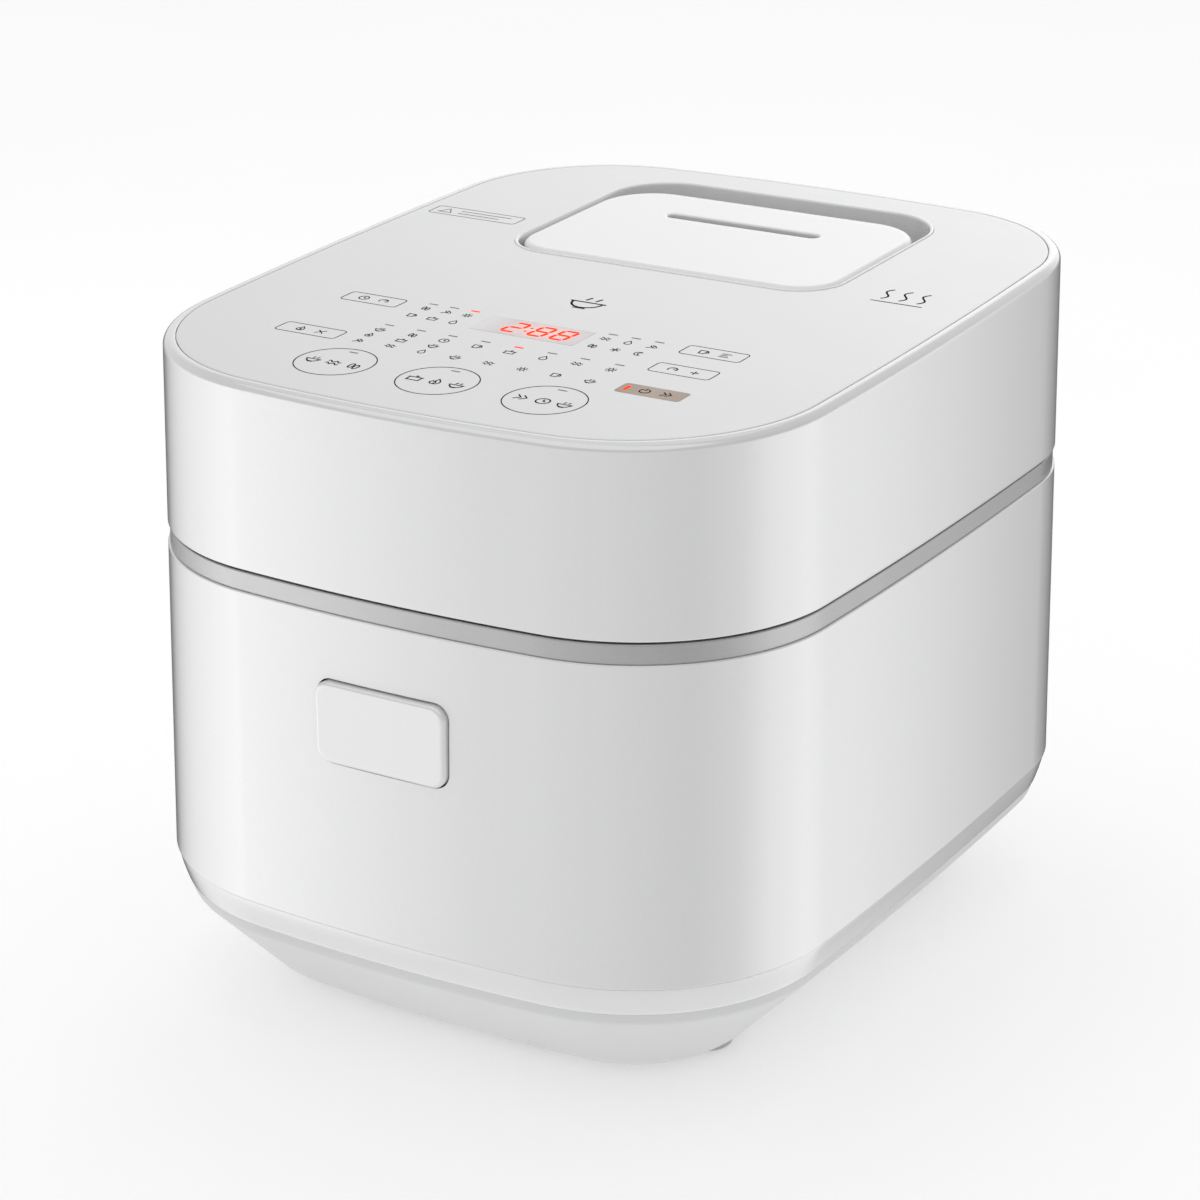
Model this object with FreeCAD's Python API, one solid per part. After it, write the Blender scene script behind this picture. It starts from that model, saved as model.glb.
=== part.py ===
import FreeCAD, Part
import math
import os

# Induction rice cooker, about 5 litres.  All lengths in millimetres.
# Frame: +Z up, -Y is the front (release button), +X to the right when facing
# the back wall.  Origin on the floor, under the middle of the bounding box.
V = FreeCAD.Vector
os.makedirs("parts", exist_ok=True)

# ---------------------------------------------------------------- dimensions
HALF_W = 135.0        # half width of the body
HALF_D = 164.3        # half depth of the body, without the rear housing
YC = -11.0            # plan centre of the body
R_FRONT = 720.0       # bow of the front wall
R_REAR = 840.0        # bow of the rear wall
R_SIDE = 2600.0       # bow of the side walls
R_CF = 78.0           # front corner radius
R_CR = 68.5           # rear corner radius
WALL = 2.5

Z_FOOT = 3.0          # underside of the base
Z_BASE = 42.6         # base tray meets the trim band
Z_TRIM = 54.1         # trim band meets the outer shell
Z_LID = 183.4         # lower edge of the lid (the seam)
Z_SHELL = Z_LID - 8.3     # top of the outer shell
Z_RING = Z_LID - 0.9      # top of the silver ring
Z_TOP = 257.4         # control panel plane at the body's centre
SLOPE = 0.030         # the panel rises towards the back
DRAFT = math.tan(math.radians(1.0))   # the walls lean out towards the floor

INSET_FOOT = 40.0     # inset of the base outline at its underside
INSET_BASE = 4.6      # inset of the base outline at its top
RING_IN = 0.8         # the silver ring stands back from the wall

PY = -17.0            # pot axis
POT_R = 110.0         # outer radius of the pot wall
POT_T = 2.0
POT_Z0 = 46.0         # pot's outer bottom
POT_ZF = Z_LID - 4.5      # underside of the pot's flange
POT_RC = 34.0         # outer radius of the pot's bottom corner

HINGE_Y = YC + HALF_D + 12.0
HINGE_Z = Z_LID - 2.0
HINGE_R = 8.5
PIN_R = 2.5

BTN_X = 27.4          # release button half width
BTN_Z0, BTN_Z1 = 119.4, 150.4
BTN_TRAVEL = 3.0
BTN_ZM = (BTN_Z0 + BTN_Z1) / 2
LATCH_Y, LATCH_Z = -158.3, BTN_ZM + 12.5

PK_X, PK_Y0, PK_Y1 = 72.2, 24.4, 140.4     # steam-valve pocket, outer, y from the body's centre
PK_RF, PK_RB = 20.0, 27.0
CAP_X, CAP_Y0, CAP_Y1 = 69.6, 28.2, 124.0  # steam-valve cap
VENT_Y = 48.0

REAR_X = 62.0         # rear housing half width
REAR_Y = 178.0
REAR_Z0, REAR_Z1 = 60.0, Z_LID - 12.0
INLET_Z = 90.0


# ------------------------------------------------------------------- helpers
def corner_centre(b, re, rc):
    """Centre of the corner arc tangent inside the side bow and an end bow."""
    c1x, c2y = HALF_W - R_SIDE, b - re
    r1, r2 = R_SIDE - rc, re - rc
    d = math.hypot(c1x, c2y)
    m = (r1 * r1 - r2 * r2 + d * d) / (2 * d)
    h = math.sqrt(max(r1 * r1 - m * m, 0.0))
    ux, uy = -c1x / d, c2y / d
    px, py = c1x + m * ux, m * uy
    a = (px - h * uy, py + h * ux)
    b2 = (px + h * uy, py - h * ux)
    return a if sum(a) > sum(b2) else b2


CF = corner_centre(HALF_D, R_FRONT, R_CF)
CR = corner_centre(HALF_D, R_REAR, R_CR)


def outline(d, z):
    """Closed wire of the body's plan outline, inset by d, at height z."""
    def P(x, y):
        return V(x, y + YC, z)

    def toward(c, q, r):
        dx, dy = q[0] - c[0], q[1] - c[1]
        n = math.hypot(dx, dy)
        return (c[0] + dx / n * r, c[1] + dy / n * r)

    cf, cr = (CF[0], -CF[1]), CR
    side = (HALF_W - R_SIDE, 0.0)
    front = (0.0, R_FRONT - HALF_D)
    rear = (0.0, HALF_D - R_REAR)
    sf = toward(side, cf, R_SIDE - d)
    sr = toward(side, cr, R_SIDE - d)
    ff = toward(front, cf, R_FRONT - d)
    rr = toward(rear, cr, R_REAR - d)

    def mid(c, p, q, r):
        mx, my = (p[0] + q[0]) / 2, (p[1] + q[1]) / 2
        return toward(c, (mx, my), r)

    mf = mid(cf, sf, ff, R_CF - d)
    mr = mid(cr, sr, rr, R_CR - d)
    pts = [
        (sf, (HALF_W - d, 0.0), sr),
        (sr, mr, rr),
        (rr, (0.0, HALF_D - d), (-rr[0], rr[1])),
        ((-rr[0], rr[1]), (-mr[0], mr[1]), (-sr[0], sr[1])),
        ((-sr[0], sr[1]), (-HALF_W + d, 0.0), (-sf[0], sf[1])),
        ((-sf[0], sf[1]), (-mf[0], mf[1]), (-ff[0], ff[1])),
        ((-ff[0], ff[1]), (0.0, -HALF_D + d), ff),
        (ff, mf, sf),
    ]
    return Part.Wire([Part.Arc(P(*a), P(*b), P(*c)).toShape() for a, b, c in pts])


def lean(z):
    """Extra inset of the drafted wall at height z; 0 at the seam."""
    return (z - Z_LID + 4.0) * DRAFT


def tapered(sections):
    """Ruled solid through (inset, height) sections; the inset is from the drafted wall."""
    return Part.makeLoft([outline(d + lean(z), z) for d, z in sections], True, True)


def prism(d, z0, z1):
    """Solid bounded by the drafted wall, inset by d."""
    return tapered([(d, z0), (d, z1)])


def rrect(x0, x1, y0, y1, z0, z1, r0, r1=None):
    """Upright block with corner radius r0 at the front and r1 at the back."""
    r1 = r0 if r1 is None else r1
    k = math.sqrt(0.5)

    def P(x, y):
        return V(x, y, z0)

    e = [
        Part.LineSegment(P(x0 + r0, y0), P(x1 - r0, y0)).toShape(),
        Part.Arc(P(x1 - r0, y0), P(x1 - r0 + r0 * k, y0 + r0 - r0 * k), P(x1, y0 + r0)).toShape(),
        Part.LineSegment(P(x1, y0 + r0), P(x1, y1 - r1)).toShape(),
        Part.Arc(P(x1, y1 - r1), P(x1 - r1 + r1 * k, y1 - r1 + r1 * k), P(x1 - r1, y1)).toShape(),
        Part.LineSegment(P(x1 - r1, y1), P(x0 + r1, y1)).toShape(),
        Part.Arc(P(x0 + r1, y1), P(x0 + r1 - r1 * k, y1 - r1 + r1 * k), P(x0, y1 - r1)).toShape(),
        Part.LineSegment(P(x0, y1 - r1), P(x0, y0 + r0)).toShape(),
        Part.Arc(P(x0, y0 + r0), P(x0 + r0 - r0 * k, y0 + r0 - r0 * k), P(x0 + r0, y0)).toShape(),
    ]
    return Part.Face(Part.Wire(e)).extrude(V(0, 0, z1 - z0))


def rrect_y(x0, x1, z0, z1, y0, y1, r):
    """Block with rounded corners in the XZ plane, extruded along Y."""
    s = rrect(x0, x1, z0, z1, 0, y1 - y0, r)
    s.rotate(V(0, 0, 0), V(1, 0, 0), 90)       # (x, y, z) -> (x, -z, y)
    s.translate(V(0, y1, 0))
    return s


def cyl(r, x, y, z0, z1):
    return Part.makeCylinder(r, z1 - z0, V(x, y, z0))


def cyl_x(r, x0, x1, y, z):
    return Part.makeCylinder(r, x1 - x0, V(x0, y, z), V(1, 0, 0))


def box(x0, x1, y0, y1, z0, z1):
    return Part.makeBox(x1 - x0, y1 - y0, z1 - z0, V(x0, y0, z0))


def panel_z(y, off=0.0):
    return Z_TOP + SLOPE * (y - YC) + off


def above(off):
    """Everything above the control-panel plane shifted by off."""
    y0, y1 = -260.0, 260.0
    w = Part.makePolygon([V(-200, y0, panel_z(y0, off)), V(-200, y1, panel_z(y1, off)),
                          V(-200, y1, 320), V(-200, y0, 320), V(-200, y0, panel_z(y0, off))])
    return Part.Face(w).extrude(V(400, 0, 0))


def slab(lo, hi):
    """Sheet between two offsets of the control-panel plane."""
    y0, y1 = -260.0, 260.0
    w = Part.makePolygon([V(-200, y0, panel_z(y0, lo)), V(-200, y1, panel_z(y1, lo)),
                          V(-200, y1, panel_z(y1, hi)), V(-200, y0, panel_z(y0, hi)),
                          V(-200, y0, panel_z(y0, lo))])
    return Part.Face(w).extrude(V(400, 0, 0))


def revolve(pts, y=None):
    """Solid of revolution about the pot axis from (r, z) points; an item
    ('arc', (r, z), (r, z)) is a mid point and an end point."""
    edges, last = [], None
    first = pts[0]
    for p in pts:
        if last is None:
            last = p
            continue
        if p[0] == "arc":
            a = V(last[0], 0, last[1])
            m = V(p[1][0], 0, p[1][1])
            b = V(p[2][0], 0, p[2][1])
            edges.append(Part.Arc(a, m, b).toShape())
            last = p[2]
        else:
            edges.append(Part.LineSegment(V(last[0], 0, last[1]), V(p[0], 0, p[1])).toShape())
            last = p
    if math.hypot(last[0] - first[0], last[1] - first[1]) > 1e-6:
        edges.append(Part.LineSegment(V(last[0], 0, last[1]), V(first[0], 0, first[1])).toShape())
    s = Part.Face(Part.Wire(edges)).revolve(V(0, 0, 0), V(0, 0, 1), 360)
    s.translate(V(0, PY if y is None else y, 0))
    return s


def spring(radius, wire, height, turns, place):
    h = Part.makeHelix(height / turns, height, radius)
    c = Part.Wire([Part.Circle(V(radius, 0, 0), V(0, radius, height / turns / (2 * math.pi)), wire).toShape()])
    s = Part.Wire(h.Edges).makePipeShell([c], True, True)
    s.Placement = place
    return s


def fuse(items):
    s = items[0].multiFuse(items[1:])
    return s.removeSplitter()


def minus(s, items):
    return s.cut(items) if len(items) > 1 else s.cut(items[0])


def save(name, shape):
    solids = shape.Solids
    assert solids, name
    for s in solids:
        assert s.isValid() and s.Volume > 0, name
    out = solids[0] if len(solids) == 1 else Part.makeCompound(solids)
    out.exportStep("parts/%s.step" % name)
    b = out.BoundBox
    print("%-18s %2d solid(s) %9.1f mm3  x %.1f..%.1f y %.1f..%.1f z %.1f..%.1f" % (
        name, len(solids), sum(s.Volume for s in solids), b.XMin, b.XMax, b.YMin, b.YMax, b.ZMin, b.ZMax))


def rel(y):
    return y + YC


# =============================================================== base and body
POSTS = [(sx * 65.5, PY + sy * 45.9) for sx in (-1, 1) for sy in (-1, 1)]
FEET = [(sx * 85.0, rel(sy * 82.0)) for sx in (-1, 1) for sy in (-1, 1)]
FAN = (-40.0, 74.0)

k45 = math.sqrt(0.5)
base_out = tapered([(INSET_FOOT + 1.6, Z_FOOT), (INSET_FOOT - 1.2, Z_FOOT + 1.2), (INSET_FOOT - 4.0, Z_FOOT + 4.2),
                    (INSET_BASE + 0.9, Z_BASE - 4.4), (INSET_BASE, Z_BASE)])
base_in = tapered([(INSET_FOOT - 0.6, Z_FOOT + 3.0), (INSET_FOOT - 1.2, Z_FOOT + 4.2),
                   (INSET_BASE + 0.9 + 2.5, Z_BASE - 4.4), (INSET_BASE + 2.5, Z_BASE)])
base = base_out.cut(base_in)
cuts = [cyl(4.0, x, y, 0, 8) for x, y in FEET]
cuts += [cyl(1.6, x, y, 0, 8) for x, y in POSTS] + [cyl(3.4, x, y, 0, 4.8) for x, y in POSTS]
for i in range(-4, 5):                                   # fan intake slots
    half = math.sqrt(31.0 ** 2 - (i * 6.8) ** 2)
    cuts.append(rrect(FAN[0] + i * 6.8 - 1.6, FAN[0] + i * 6.8 + 1.6, FAN[1] - half, FAN[1] + half, 0, 8, 1.5))
for i in range(-4, 5):                                   # air outlet slots at the front
    cuts.append(rrect(i * 9 - 1.6, i * 9 + 1.6, rel(-118), rel(-88), 0, 8, 1.5))
base = base.cut(cuts)
save("base_tray", base)

feet = [fuse([cyl(10.5, x, y, 0, Z_FOOT), cyl(4.0, x, y, Z_FOOT, Z_FOOT + 4.5)]) for x, y in FEET]
feet = [f.makeFillet(0.8, [e for e in f.Edges if abs(e.BoundBox.ZMax) < 1e-4 and e.Length > 40]) for f in feet]
save("rubber_feet", Part.makeCompound(feet))

screws = [fuse([cyl(3.1, x, y, 3.1, 4.8), cyl(1.5, x, y, 4.8, 17.0)]) for x, y in POSTS]
save("base_screws", Part.makeCompound(screws))

trim = tapered([(3.9, Z_BASE), (0.6, Z_TRIM)]).cut(tapered([(7.1, Z_BASE), (3.8, Z_TRIM)]))
save("trim_band", trim)

# side wall, with the opening for the release button
shell = prism(0.0, Z_TRIM, Z_SHELL)
low = [e for e in shell.Edges if abs(e.BoundBox.ZMax - Z_TRIM) < 1e-4]
shell = shell.makeFillet(0.6, low)
shell = shell.cut(prism(WALL, Z_TRIM - 1, Z_SHELL + 1))
btn_hole = rrect_y(-BTN_X - 0.6, BTN_X + 0.6, BTN_Z0 - 0.6, BTN_Z1 + 0.6, -190, -160, 6.4)
shell = shell.cut(btn_hole)
shell = shell.cut(box(-9, 9, 140, 160, INLET_Z - 6, INLET_Z + 6))
save("outer_shell", shell)

ring = prism(RING_IN, Z_SHELL, Z_RING).cut(prism(3.4, Z_SHELL - 1, Z_RING + 1))
save("silver_trim_ring", ring)

# deck: plate round the pot, with the pot's seat, a drip groove and the latch slot
ZD = Z_LID - 7.0      # underside of the deck
deck = prism(3.5, ZD, ZD + 4.4)
deck = deck.cut([cyl(112.8, 0, PY, ZD - 10, ZD + 20), cyl(119.0, 0, PY, ZD + 2.2, ZD + 20),
                 rrect(-11, 11, -169.2, -146, ZD - 10, ZD + 20, 3.0)])
groove = Part.makeTorus(125.0, 1.8, V(0, PY, ZD + 5.0))
deck = deck.cut(groove)
save("top_deck", deck)

# well: aluminium-coated cup that carries the pot, with a hole for the sensor
wr, wz, wc = 112.8, POT_Z0 - 2.5, 37.0
well = revolve([(20.0, wz), (wr - wc, wz), ("arc", (wr - wc + wc * k45, wz + wc - wc * k45), (wr, wz + wc)),
                (wr, ZD), (118.0, ZD), (118.0, ZD - 1.6), (wr + 1.5, ZD - 1.6), (wr + 1.5, wz + wc),
                ("arc", (wr - wc + (wc + 1.5) * k45, wz + wc - (wc + 1.5) * k45), (wr - wc, wz - 1.5)),
                (20.0, wz - 1.5)])
save("heating_well", well)

belt = revolve([(114.5, 104), (116.3, 104), (116.3, 134), (114.5, 134)])
belt = belt.cut(box(-6, 6, PY + 100, PY + 130, 100, 140))
save("side_heater", belt)

# induction coil: a flat winding and a winding that wraps the corner
cc_r, cc_z = wr - wc, wz + wc
flat = revolve([(27.0, wz - 7.1), (74.0, wz - 7.1), (74.0, wz - 2.9), (27.0, wz - 2.9)])
grooves = [revolve([(r, wz - 7.6), (r + 0.8, wz - 7.6), (r + 0.8, wz - 6.5), (r, wz - 6.5)]) for r in range(30, 73, 4)]
flat = flat.cut(grooves)


def arc_band(r0, r1, a0, a1):
    def q(r, a):
        return (cc_r + r * math.cos(math.radians(a)), cc_z + r * math.sin(math.radians(a)))
    am = (a0 + a1) / 2
    return revolve([q(r0, a0), ("arc", q(r0, am), q(r0, a1)), q(r1, a1), ("arc", q(r1, am), q(r1, a0))])


wrap = arc_band(40.2, 43.6, -72, -30)
save("induction_coil", Part.makeCompound([flat, wrap]))

ZC = wz - 11.3        # underside of the coil carrier
carrier = revolve([(24.0, ZC), (cc_r, ZC),
                   ("arc", (cc_r + 48.3 * math.cos(math.radians(-53)), cc_z + 48.3 * math.sin(math.radians(-53))),
                    (cc_r + 48.3 * math.cos(math.radians(-16)), cc_z + 48.3 * math.sin(math.radians(-16)))),
                   (cc_r + 45.8 * math.cos(math.radians(-16)), cc_z + 45.8 * math.sin(math.radians(-16))),
                   ("arc", (cc_r + 45.8 * math.cos(math.radians(-53)), cc_z + 45.8 * math.sin(math.radians(-53))),
                    (cc_r, ZC + 2.5)), (24.0, ZC + 2.5)])
posts = [cyl(5.0, x, y, 6.0, ZC + 0.4) for x, y in POSTS]
carrier = fuse([carrier] + posts).cut([cyl(1.5, x, y, 5, 20) for x, y in POSTS])
save("coil_carrier", carrier)

bars = []
for i in range(6):
    b = box(32, 80, -6, 6, ZC - 5.8, ZC)
    b.rotate(V(0, 0, 0), V(0, 0, 1), 60 * i)
    b.translate(V(0, PY, 0))
    bars.append(b)
save("ferrite_bars", Part.makeCompound(bars))

# spring-loaded thermostat in the middle of the well
zs = POT_Z0 - 0.4     # top of the sensor cap
sens = revolve([(0, zs), (15.0, zs), ("arc", (16.2, zs - 0.5), (16.7, zs - 1.7)), (16.7, zs - 8.6), (15.2, zs - 8.6), (15.2, zs - 1.6), (0, zs - 1.6)])
stem = cyl(3.0, 0, PY, zs - 17.6, zs - 1.6)
sens = fuse([sens, stem])
save("pot_sensor", sens)
guide = revolve([(3.3, ZC - 14.2), (21.0, ZC - 14.2), (21.0, ZC), (19.0, ZC), (19.0, ZC - 12.2), (3.3, ZC - 12.2)])
lugs = cyl(24.5, 0, PY, ZC - 1.8, ZC).cut(cyl(19.0, 0, PY, ZC - 10, ZC + 10))
guide = fuse([guide, lugs])
save("sensor_guide", guide)
save("sensor_spring", spring(8.0, 0.65, zs - 4.0 - (ZC - 11.0), 6, FreeCAD.Placement(V(0, PY, ZC - 10.6), FreeCAD.Rotation())))

# fan on the base, behind the left post
fx, fy = FAN
frame = rrect(fx - 35, fx + 35, fy - 35, fy + 35, 6.0, 19.6, 4.0).cut(
    [cyl(32.5, fx, fy, 0, 30)] + [cyl(1.8, fx + sx * 30, fy + sy * 30, 0, 30) for sx in (-1, 1) for sy in (-1, 1)])
mount = [cyl(12.0, fx, fy, 6.0, 7.6), cyl(2.0, fx, fy, 7.6, 15.0)]
for i in range(4):
    s = box(10, 33.5, -1.5, 1.5, 6.0, 7.6)
    s.rotate(V(0, 0, 0), V(0, 0, 1), 45 + 90 * i)
    s.translate(V(fx, fy, 0))
    mount.append(s)
save("fan_frame", fuse([frame] + mount))
hub = cyl(13.0, fx, fy, 8.4, 18.6).cut(cyl(2.06, fx, fy, 0, 15.6))
blades = []
for i in range(7):
    b = box(12.4, 31.0, -0.6, 0.6, -4.2, 4.2)
    b.rotate(V(0, 0, 0), V(1, 0, 0), 38)
    b.rotate(V(0, 0, 0), V(0, 0, 1), 360.0 / 7 * i)
    b.translate(V(fx, fy, 13.4))
    blades.append(b)
save("fan_rotor", fuse([hub] + blades))

# main board, upright behind the well
save("main_board", box(-92, 92, 112.0, 113.6, 34.0, 134.0))
sink = [box(-26, 34, 113.6, 118.0, 52, 106)]
for i in range(7):
    sink.append(box(-26 + i * 9.66, -24 + i * 9.66, 118.0, 136.0, 52, 106))
save("heat_sink", fuse(sink))
cap1 = Part.makeCylinder(11.0, 22.0, V(58, 113.6, 80), V(0, 1, 0))
cap2 = Part.makeCylinder(8.0, 20.0, V(58, 113.6, 107), V(0, 1, 0))
relay = box(-60, -38, 113.6, 128, 88, 108)
choke = box(-66, -40, 113.6, 130, 56, 78)
save("board_components", Part.makeCompound([cap1, cap2, relay, choke]))

# rear housing with the inlet and the hinge knuckles on top
rear = rrect_y(-REAR_X, REAR_X, REAR_Z0, REAR_Z1, 130, REAR_Y, 10.0)
e = [x for x in rear.Edges if abs(x.BoundBox.YMin - REAR_Y) < 1e-4 and abs(x.BoundBox.YMax - REAR_Y) < 1e-4]
rear = rear.makeFillet(4.0, e)
hollow = rrect_y(-REAR_X + 2.5, REAR_X - 2.5, REAR_Z0 + 2.5, REAR_Z1 - 2.5, 120, REAR_Y - 2.5, 7.5)
rear = rear.cut([hollow, prism(0.0, 40, 190),
                 box(-15, 15, 160, 180, INLET_Z - 11, INLET_Z + 11)])
rear = max(rear.Solids, key=lambda s: s.Volume)
vents = []
for i in range(-5, 6):
    if i == 0:
        continue
    vents.append(rrect_y(i * 9 - 1.6, i * 9 + 1.6, 128, 154, 165, 190, 1.5))
rear = rear.cut(vents)
save("rear_housing", rear)

inlet = rrect_y(-14.9, 14.9, INLET_Z - 10.9, INLET_Z + 10.9, REAR_Y - 18.0, REAR_Y, 2.0)
sock = rrect_y(-12.2, 12.2, INLET_Z - 8.6, INLET_Z + 8.6, REAR_Y - 14.5, REAR_Y + 5, 2.5)
inlet = inlet.cut(sock)
flange = rrect_y(-17.5, 17.5, INLET_Z - 13.5, INLET_Z + 13.5, REAR_Y - 5.5, REAR_Y - 2.5, 2.0).cut(
    box(-14.9, 14.9, 150, 190, INLET_Z - 10.9, INLET_Z + 10.9))
inlet = fuse([inlet, flange])
pins = [box(x - 1.0, x + 1.0, REAR_Y - 20.0, REAR_Y - 5.6, INLET_Z + dz - 2.0, INLET_Z + dz + 2.0) for x, dz in ((-7, -1.6), (0, 1.6), (7, -1.6))]
save("inlet_pins", Part.makeCompound(pins))
inlet = inlet.cut(pins)
save("power_inlet", inlet)

# hinge
knuckles = []
for s in (-1, 1):
    x0, x1 = (14.0, 34.0) if s > 0 else (-34.0, -14.0)
    k = cyl_x(HINGE_R, x0, x1, HINGE_Y, HINGE_Z)
    foot = box(x0, x1, HINGE_Y - HINGE_R, HINGE_Y + HINGE_R, REAR_Z1, HINGE_Z)
    k = fuse([k, foot]).cut(cyl_x(PIN_R, x0 - 1, x1 + 1, HINGE_Y, HINGE_Z))
    knuckles.append(k)
save("hinge_bracket", Part.makeCompound(knuckles))
save("hinge_pin", cyl_x(PIN_R, -50.0, 50.0, HINGE_Y, HINGE_Z))
save("hinge_spring", spring(4.6, 0.9, 24.0, 9, FreeCAD.Placement(V(-12.0, HINGE_Y, HINGE_Z), FreeCAD.Rotation(V(0, 1, 0), 90))))

# latch: bracket under the deck, pin and lever
LZ = LATCH_Z
cheeks = [box(s * 9.6 if s > 0 else -12.4, 12.4 if s > 0 else -9.6, -164.0, -151.0, LZ - 7.0, ZD) for s in (1, -1)]
bridge = box(-12.4, 12.4, -148.0, -145.4, LZ + 5.0, ZD)
side = [box(x0, x1, -151.0, -145.4, LZ + 5.0, ZD) for x0, x1 in ((9.6, 12.4), (-12.4, -9.6))]
bracket = fuse(cheeks + side + [bridge]).cut(cyl_x(1.5, -13, 13, LATCH_Y, LATCH_Z))
save("latch_bracket", bracket)
save("latch_pin", cyl_x(1.5, -12.4, 12.4, LATCH_Y, LATCH_Z))
ly, lt = LATCH_Y, Z_LID + 4.4
prof = [(ly - 2.2, LZ - 16.0), (ly + 2.0, LZ - 16.0), (ly + 2.0, lt - 3.8), (ly + 5.6, lt - 3.8), (ly + 5.6, lt - 3.0), (ly + 1.6, lt), (ly - 2.2, lt)]
w = Part.makePolygon([V(-8, y, z) for y, z in prof + prof[:1]])
lever = Part.Face(w).extrude(V(16, 0, 0))
lever = fuse([lever, cyl_x(4.2, -9.2, 9.2, LATCH_Y, LATCH_Z)]).cut(cyl_x(1.56, -13, 13, LATCH_Y, LATCH_Z))
save("latch_lever", lever)

# release button: shell with a stem that pushes the lever's lower arm
BTN_Y = -178.0
btn = rrect_y(-BTN_X, BTN_X, BTN_Z0, BTN_Z1, BTN_Y, BTN_Y + 9.0, 5.8)
fe = [x for x in btn.Edges if abs(x.BoundBox.YMax - BTN_Y) < 1e-4]
btn = btn.makeFillet(1.5, fe)
btn = btn.cut(rrect_y(-BTN_X + 2, BTN_X - 2, BTN_Z0 + 2, BTN_Z1 - 2, BTN_Y + 2.4, BTN_Y + 16, 4.0))
stem = Part.makeCylinder(3.0, -BTN_Y - 2.4 - 161.3, V(0, BTN_Y + 2.4, BTN_ZM), V(0, 1, 0))
btn = fuse([btn, stem])
save("release_button", btn)
save("button_spring", spring(5.2, 0.5, 9.6, 5, FreeCAD.Placement(V(0, BTN_Y + 3.0, BTN_ZM), FreeCAD.Rotation(V(1, 0, 0), -90))))
seat = box(-22, 22, -164.7, -162.7, BTN_ZM - 8.5, BTN_ZM + 5.1).cut(Part.makeCylinder(3.4, 12, V(0, -168, BTN_ZM), V(0, 1, 0)))
arms = [box(x0, x1, -164.7, -162.7, BTN_ZM - 8.5, ZD) for x0, x1 in ((13.0, 22.0), (-22.0, -13.0))]
save("spring_seat", fuse([seat] + arms))

# ============================================================== pot
r, t, rc = POT_R, POT_T, POT_RC
pot = revolve([(0, POT_Z0), (r - rc, POT_Z0), ("arc", (r - rc + rc * k45, POT_Z0 + rc - rc * k45), (r, POT_Z0 + rc)),
               (r, POT_ZF - 2.0), ("arc", (r + 0.6, POT_ZF - 0.6), (r + 2.0, POT_ZF)), (117.0, POT_ZF),
               ("arc", (117.9, POT_ZF + 0.9), (117.0, POT_ZF + 1.8)), (r - t + 1.5, POT_ZF + 1.8),
               ("arc", (r - t + 0.44, POT_ZF + 1.36), (r - t, POT_ZF + 0.3)), (r - t, POT_Z0 + rc),
               ("arc", (r - rc + (rc - t) * k45, POT_Z0 + rc - (rc - t) * k45), (r - rc, POT_Z0 + t)), (0, POT_Z0 + t)])
save("inner_pot", pot)

# ============================================================== lid
pk_out = rrect(-PK_X, PK_X, rel(PK_Y0), rel(PK_Y1), 190, 300, PK_RF, PK_RB)
win = box(-23.2, 23.2, rel(-62 - 9.2), rel(-62 + 9.2), 220, 300)
cover = prism(0.0, Z_LID, 300).cut(above(0.0))
top = [x for x in cover.Edges if x.BoundBox.ZMin > Z_LID + 20 and abs(x.BoundBox.ZMax - panel_z(x.BoundBox.YMax)) < 0.2 and x.BoundBox.ZLength < 14]
top = [x for x in top if all(abs(v.Z - panel_z(v.Y)) < 1e-3 for v in x.Vertexes)]
cover = cover.makeFillet(3.0, top)
cover = cover.cut([prism(WALL, 160, 300).cut(above(-3.2)), prism(4.6, 160, 300).common(above(-1.6)), pk_out, win])
LS = [(sx * 112.0, rel(y)) for sx in (-1, 1) for y in (-98.0, 92.0)]
bosses = [cyl(4.0, x, y, Z_LID + 2.5, 300).cut(above(-3.2)) for x, y in LS]
cover = fuse([cover] + bosses).cut([cyl(1.4, x, y, 170, Z_LID + 17) for x, y in LS])
save("lid_cover", cover)

panel = prism(4.8, 160, 300).common(slab(-1.5, 0.0)).cut(pk_out)
save("control_panel", panel)

ZP = 225.0            # underside of the pocket's floor
pocket = rrect(-PK_X + 0.05, PK_X - 0.05, rel(PK_Y0 + 0.05), rel(PK_Y1 - 0.05), ZP, 300, PK_RF, PK_RB).cut(above(0.35))
pocket = pocket.cut([rrect(-PK_X + 1.6, PK_X - 1.6, rel(PK_Y0 + 1.6), rel(PK_Y1 - 1.6), ZP + 2.0, 300, PK_RF - 1.6, PK_RB - 1.6),
                     cyl(11.0, 0, VENT_Y, ZP - 5, ZP + 5)])
save("valve_pocket", pocket)

zl = Z_LID
liner = fuse([prism(2.6, zl, zl + 2.5), cyl(116.0, 0, PY, zl, zl + 8.0)])
liner = liner.cut([cyl(113.6, 0, PY, zl - 8, zl + 5.6), cyl(11.0, 0, VENT_Y, zl - 8, zl + 12), cyl(4.2, 42, PY + 10, zl - 8, zl + 12),
                   rrect(-11, 11, -170.6, -151.9, zl - 8, zl + 12, 3.0)]
                  + [cyl(1.5, x, y, zl - 8, zl + 12) for x, y in LS])
save("lid_liner", liner)
save("lid_screws", Part.makeCompound([fuse([cyl(2.8, x, y, zl - 1.6, zl), cyl(1.4, x, y, zl, zl + 14.0)]) for x, y in LS]))

plate = cyl(112.4, 0, PY, zl + 3.9, zl + 5.4).cut(cyl(11.0, 0, VENT_Y, zl - 8, zl + 12))
save("lid_heater_plate", plate)
save("lid_sensor", cyl(4.0, 42, PY + 10, zl + 5.4, zl + 14.0))

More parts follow.
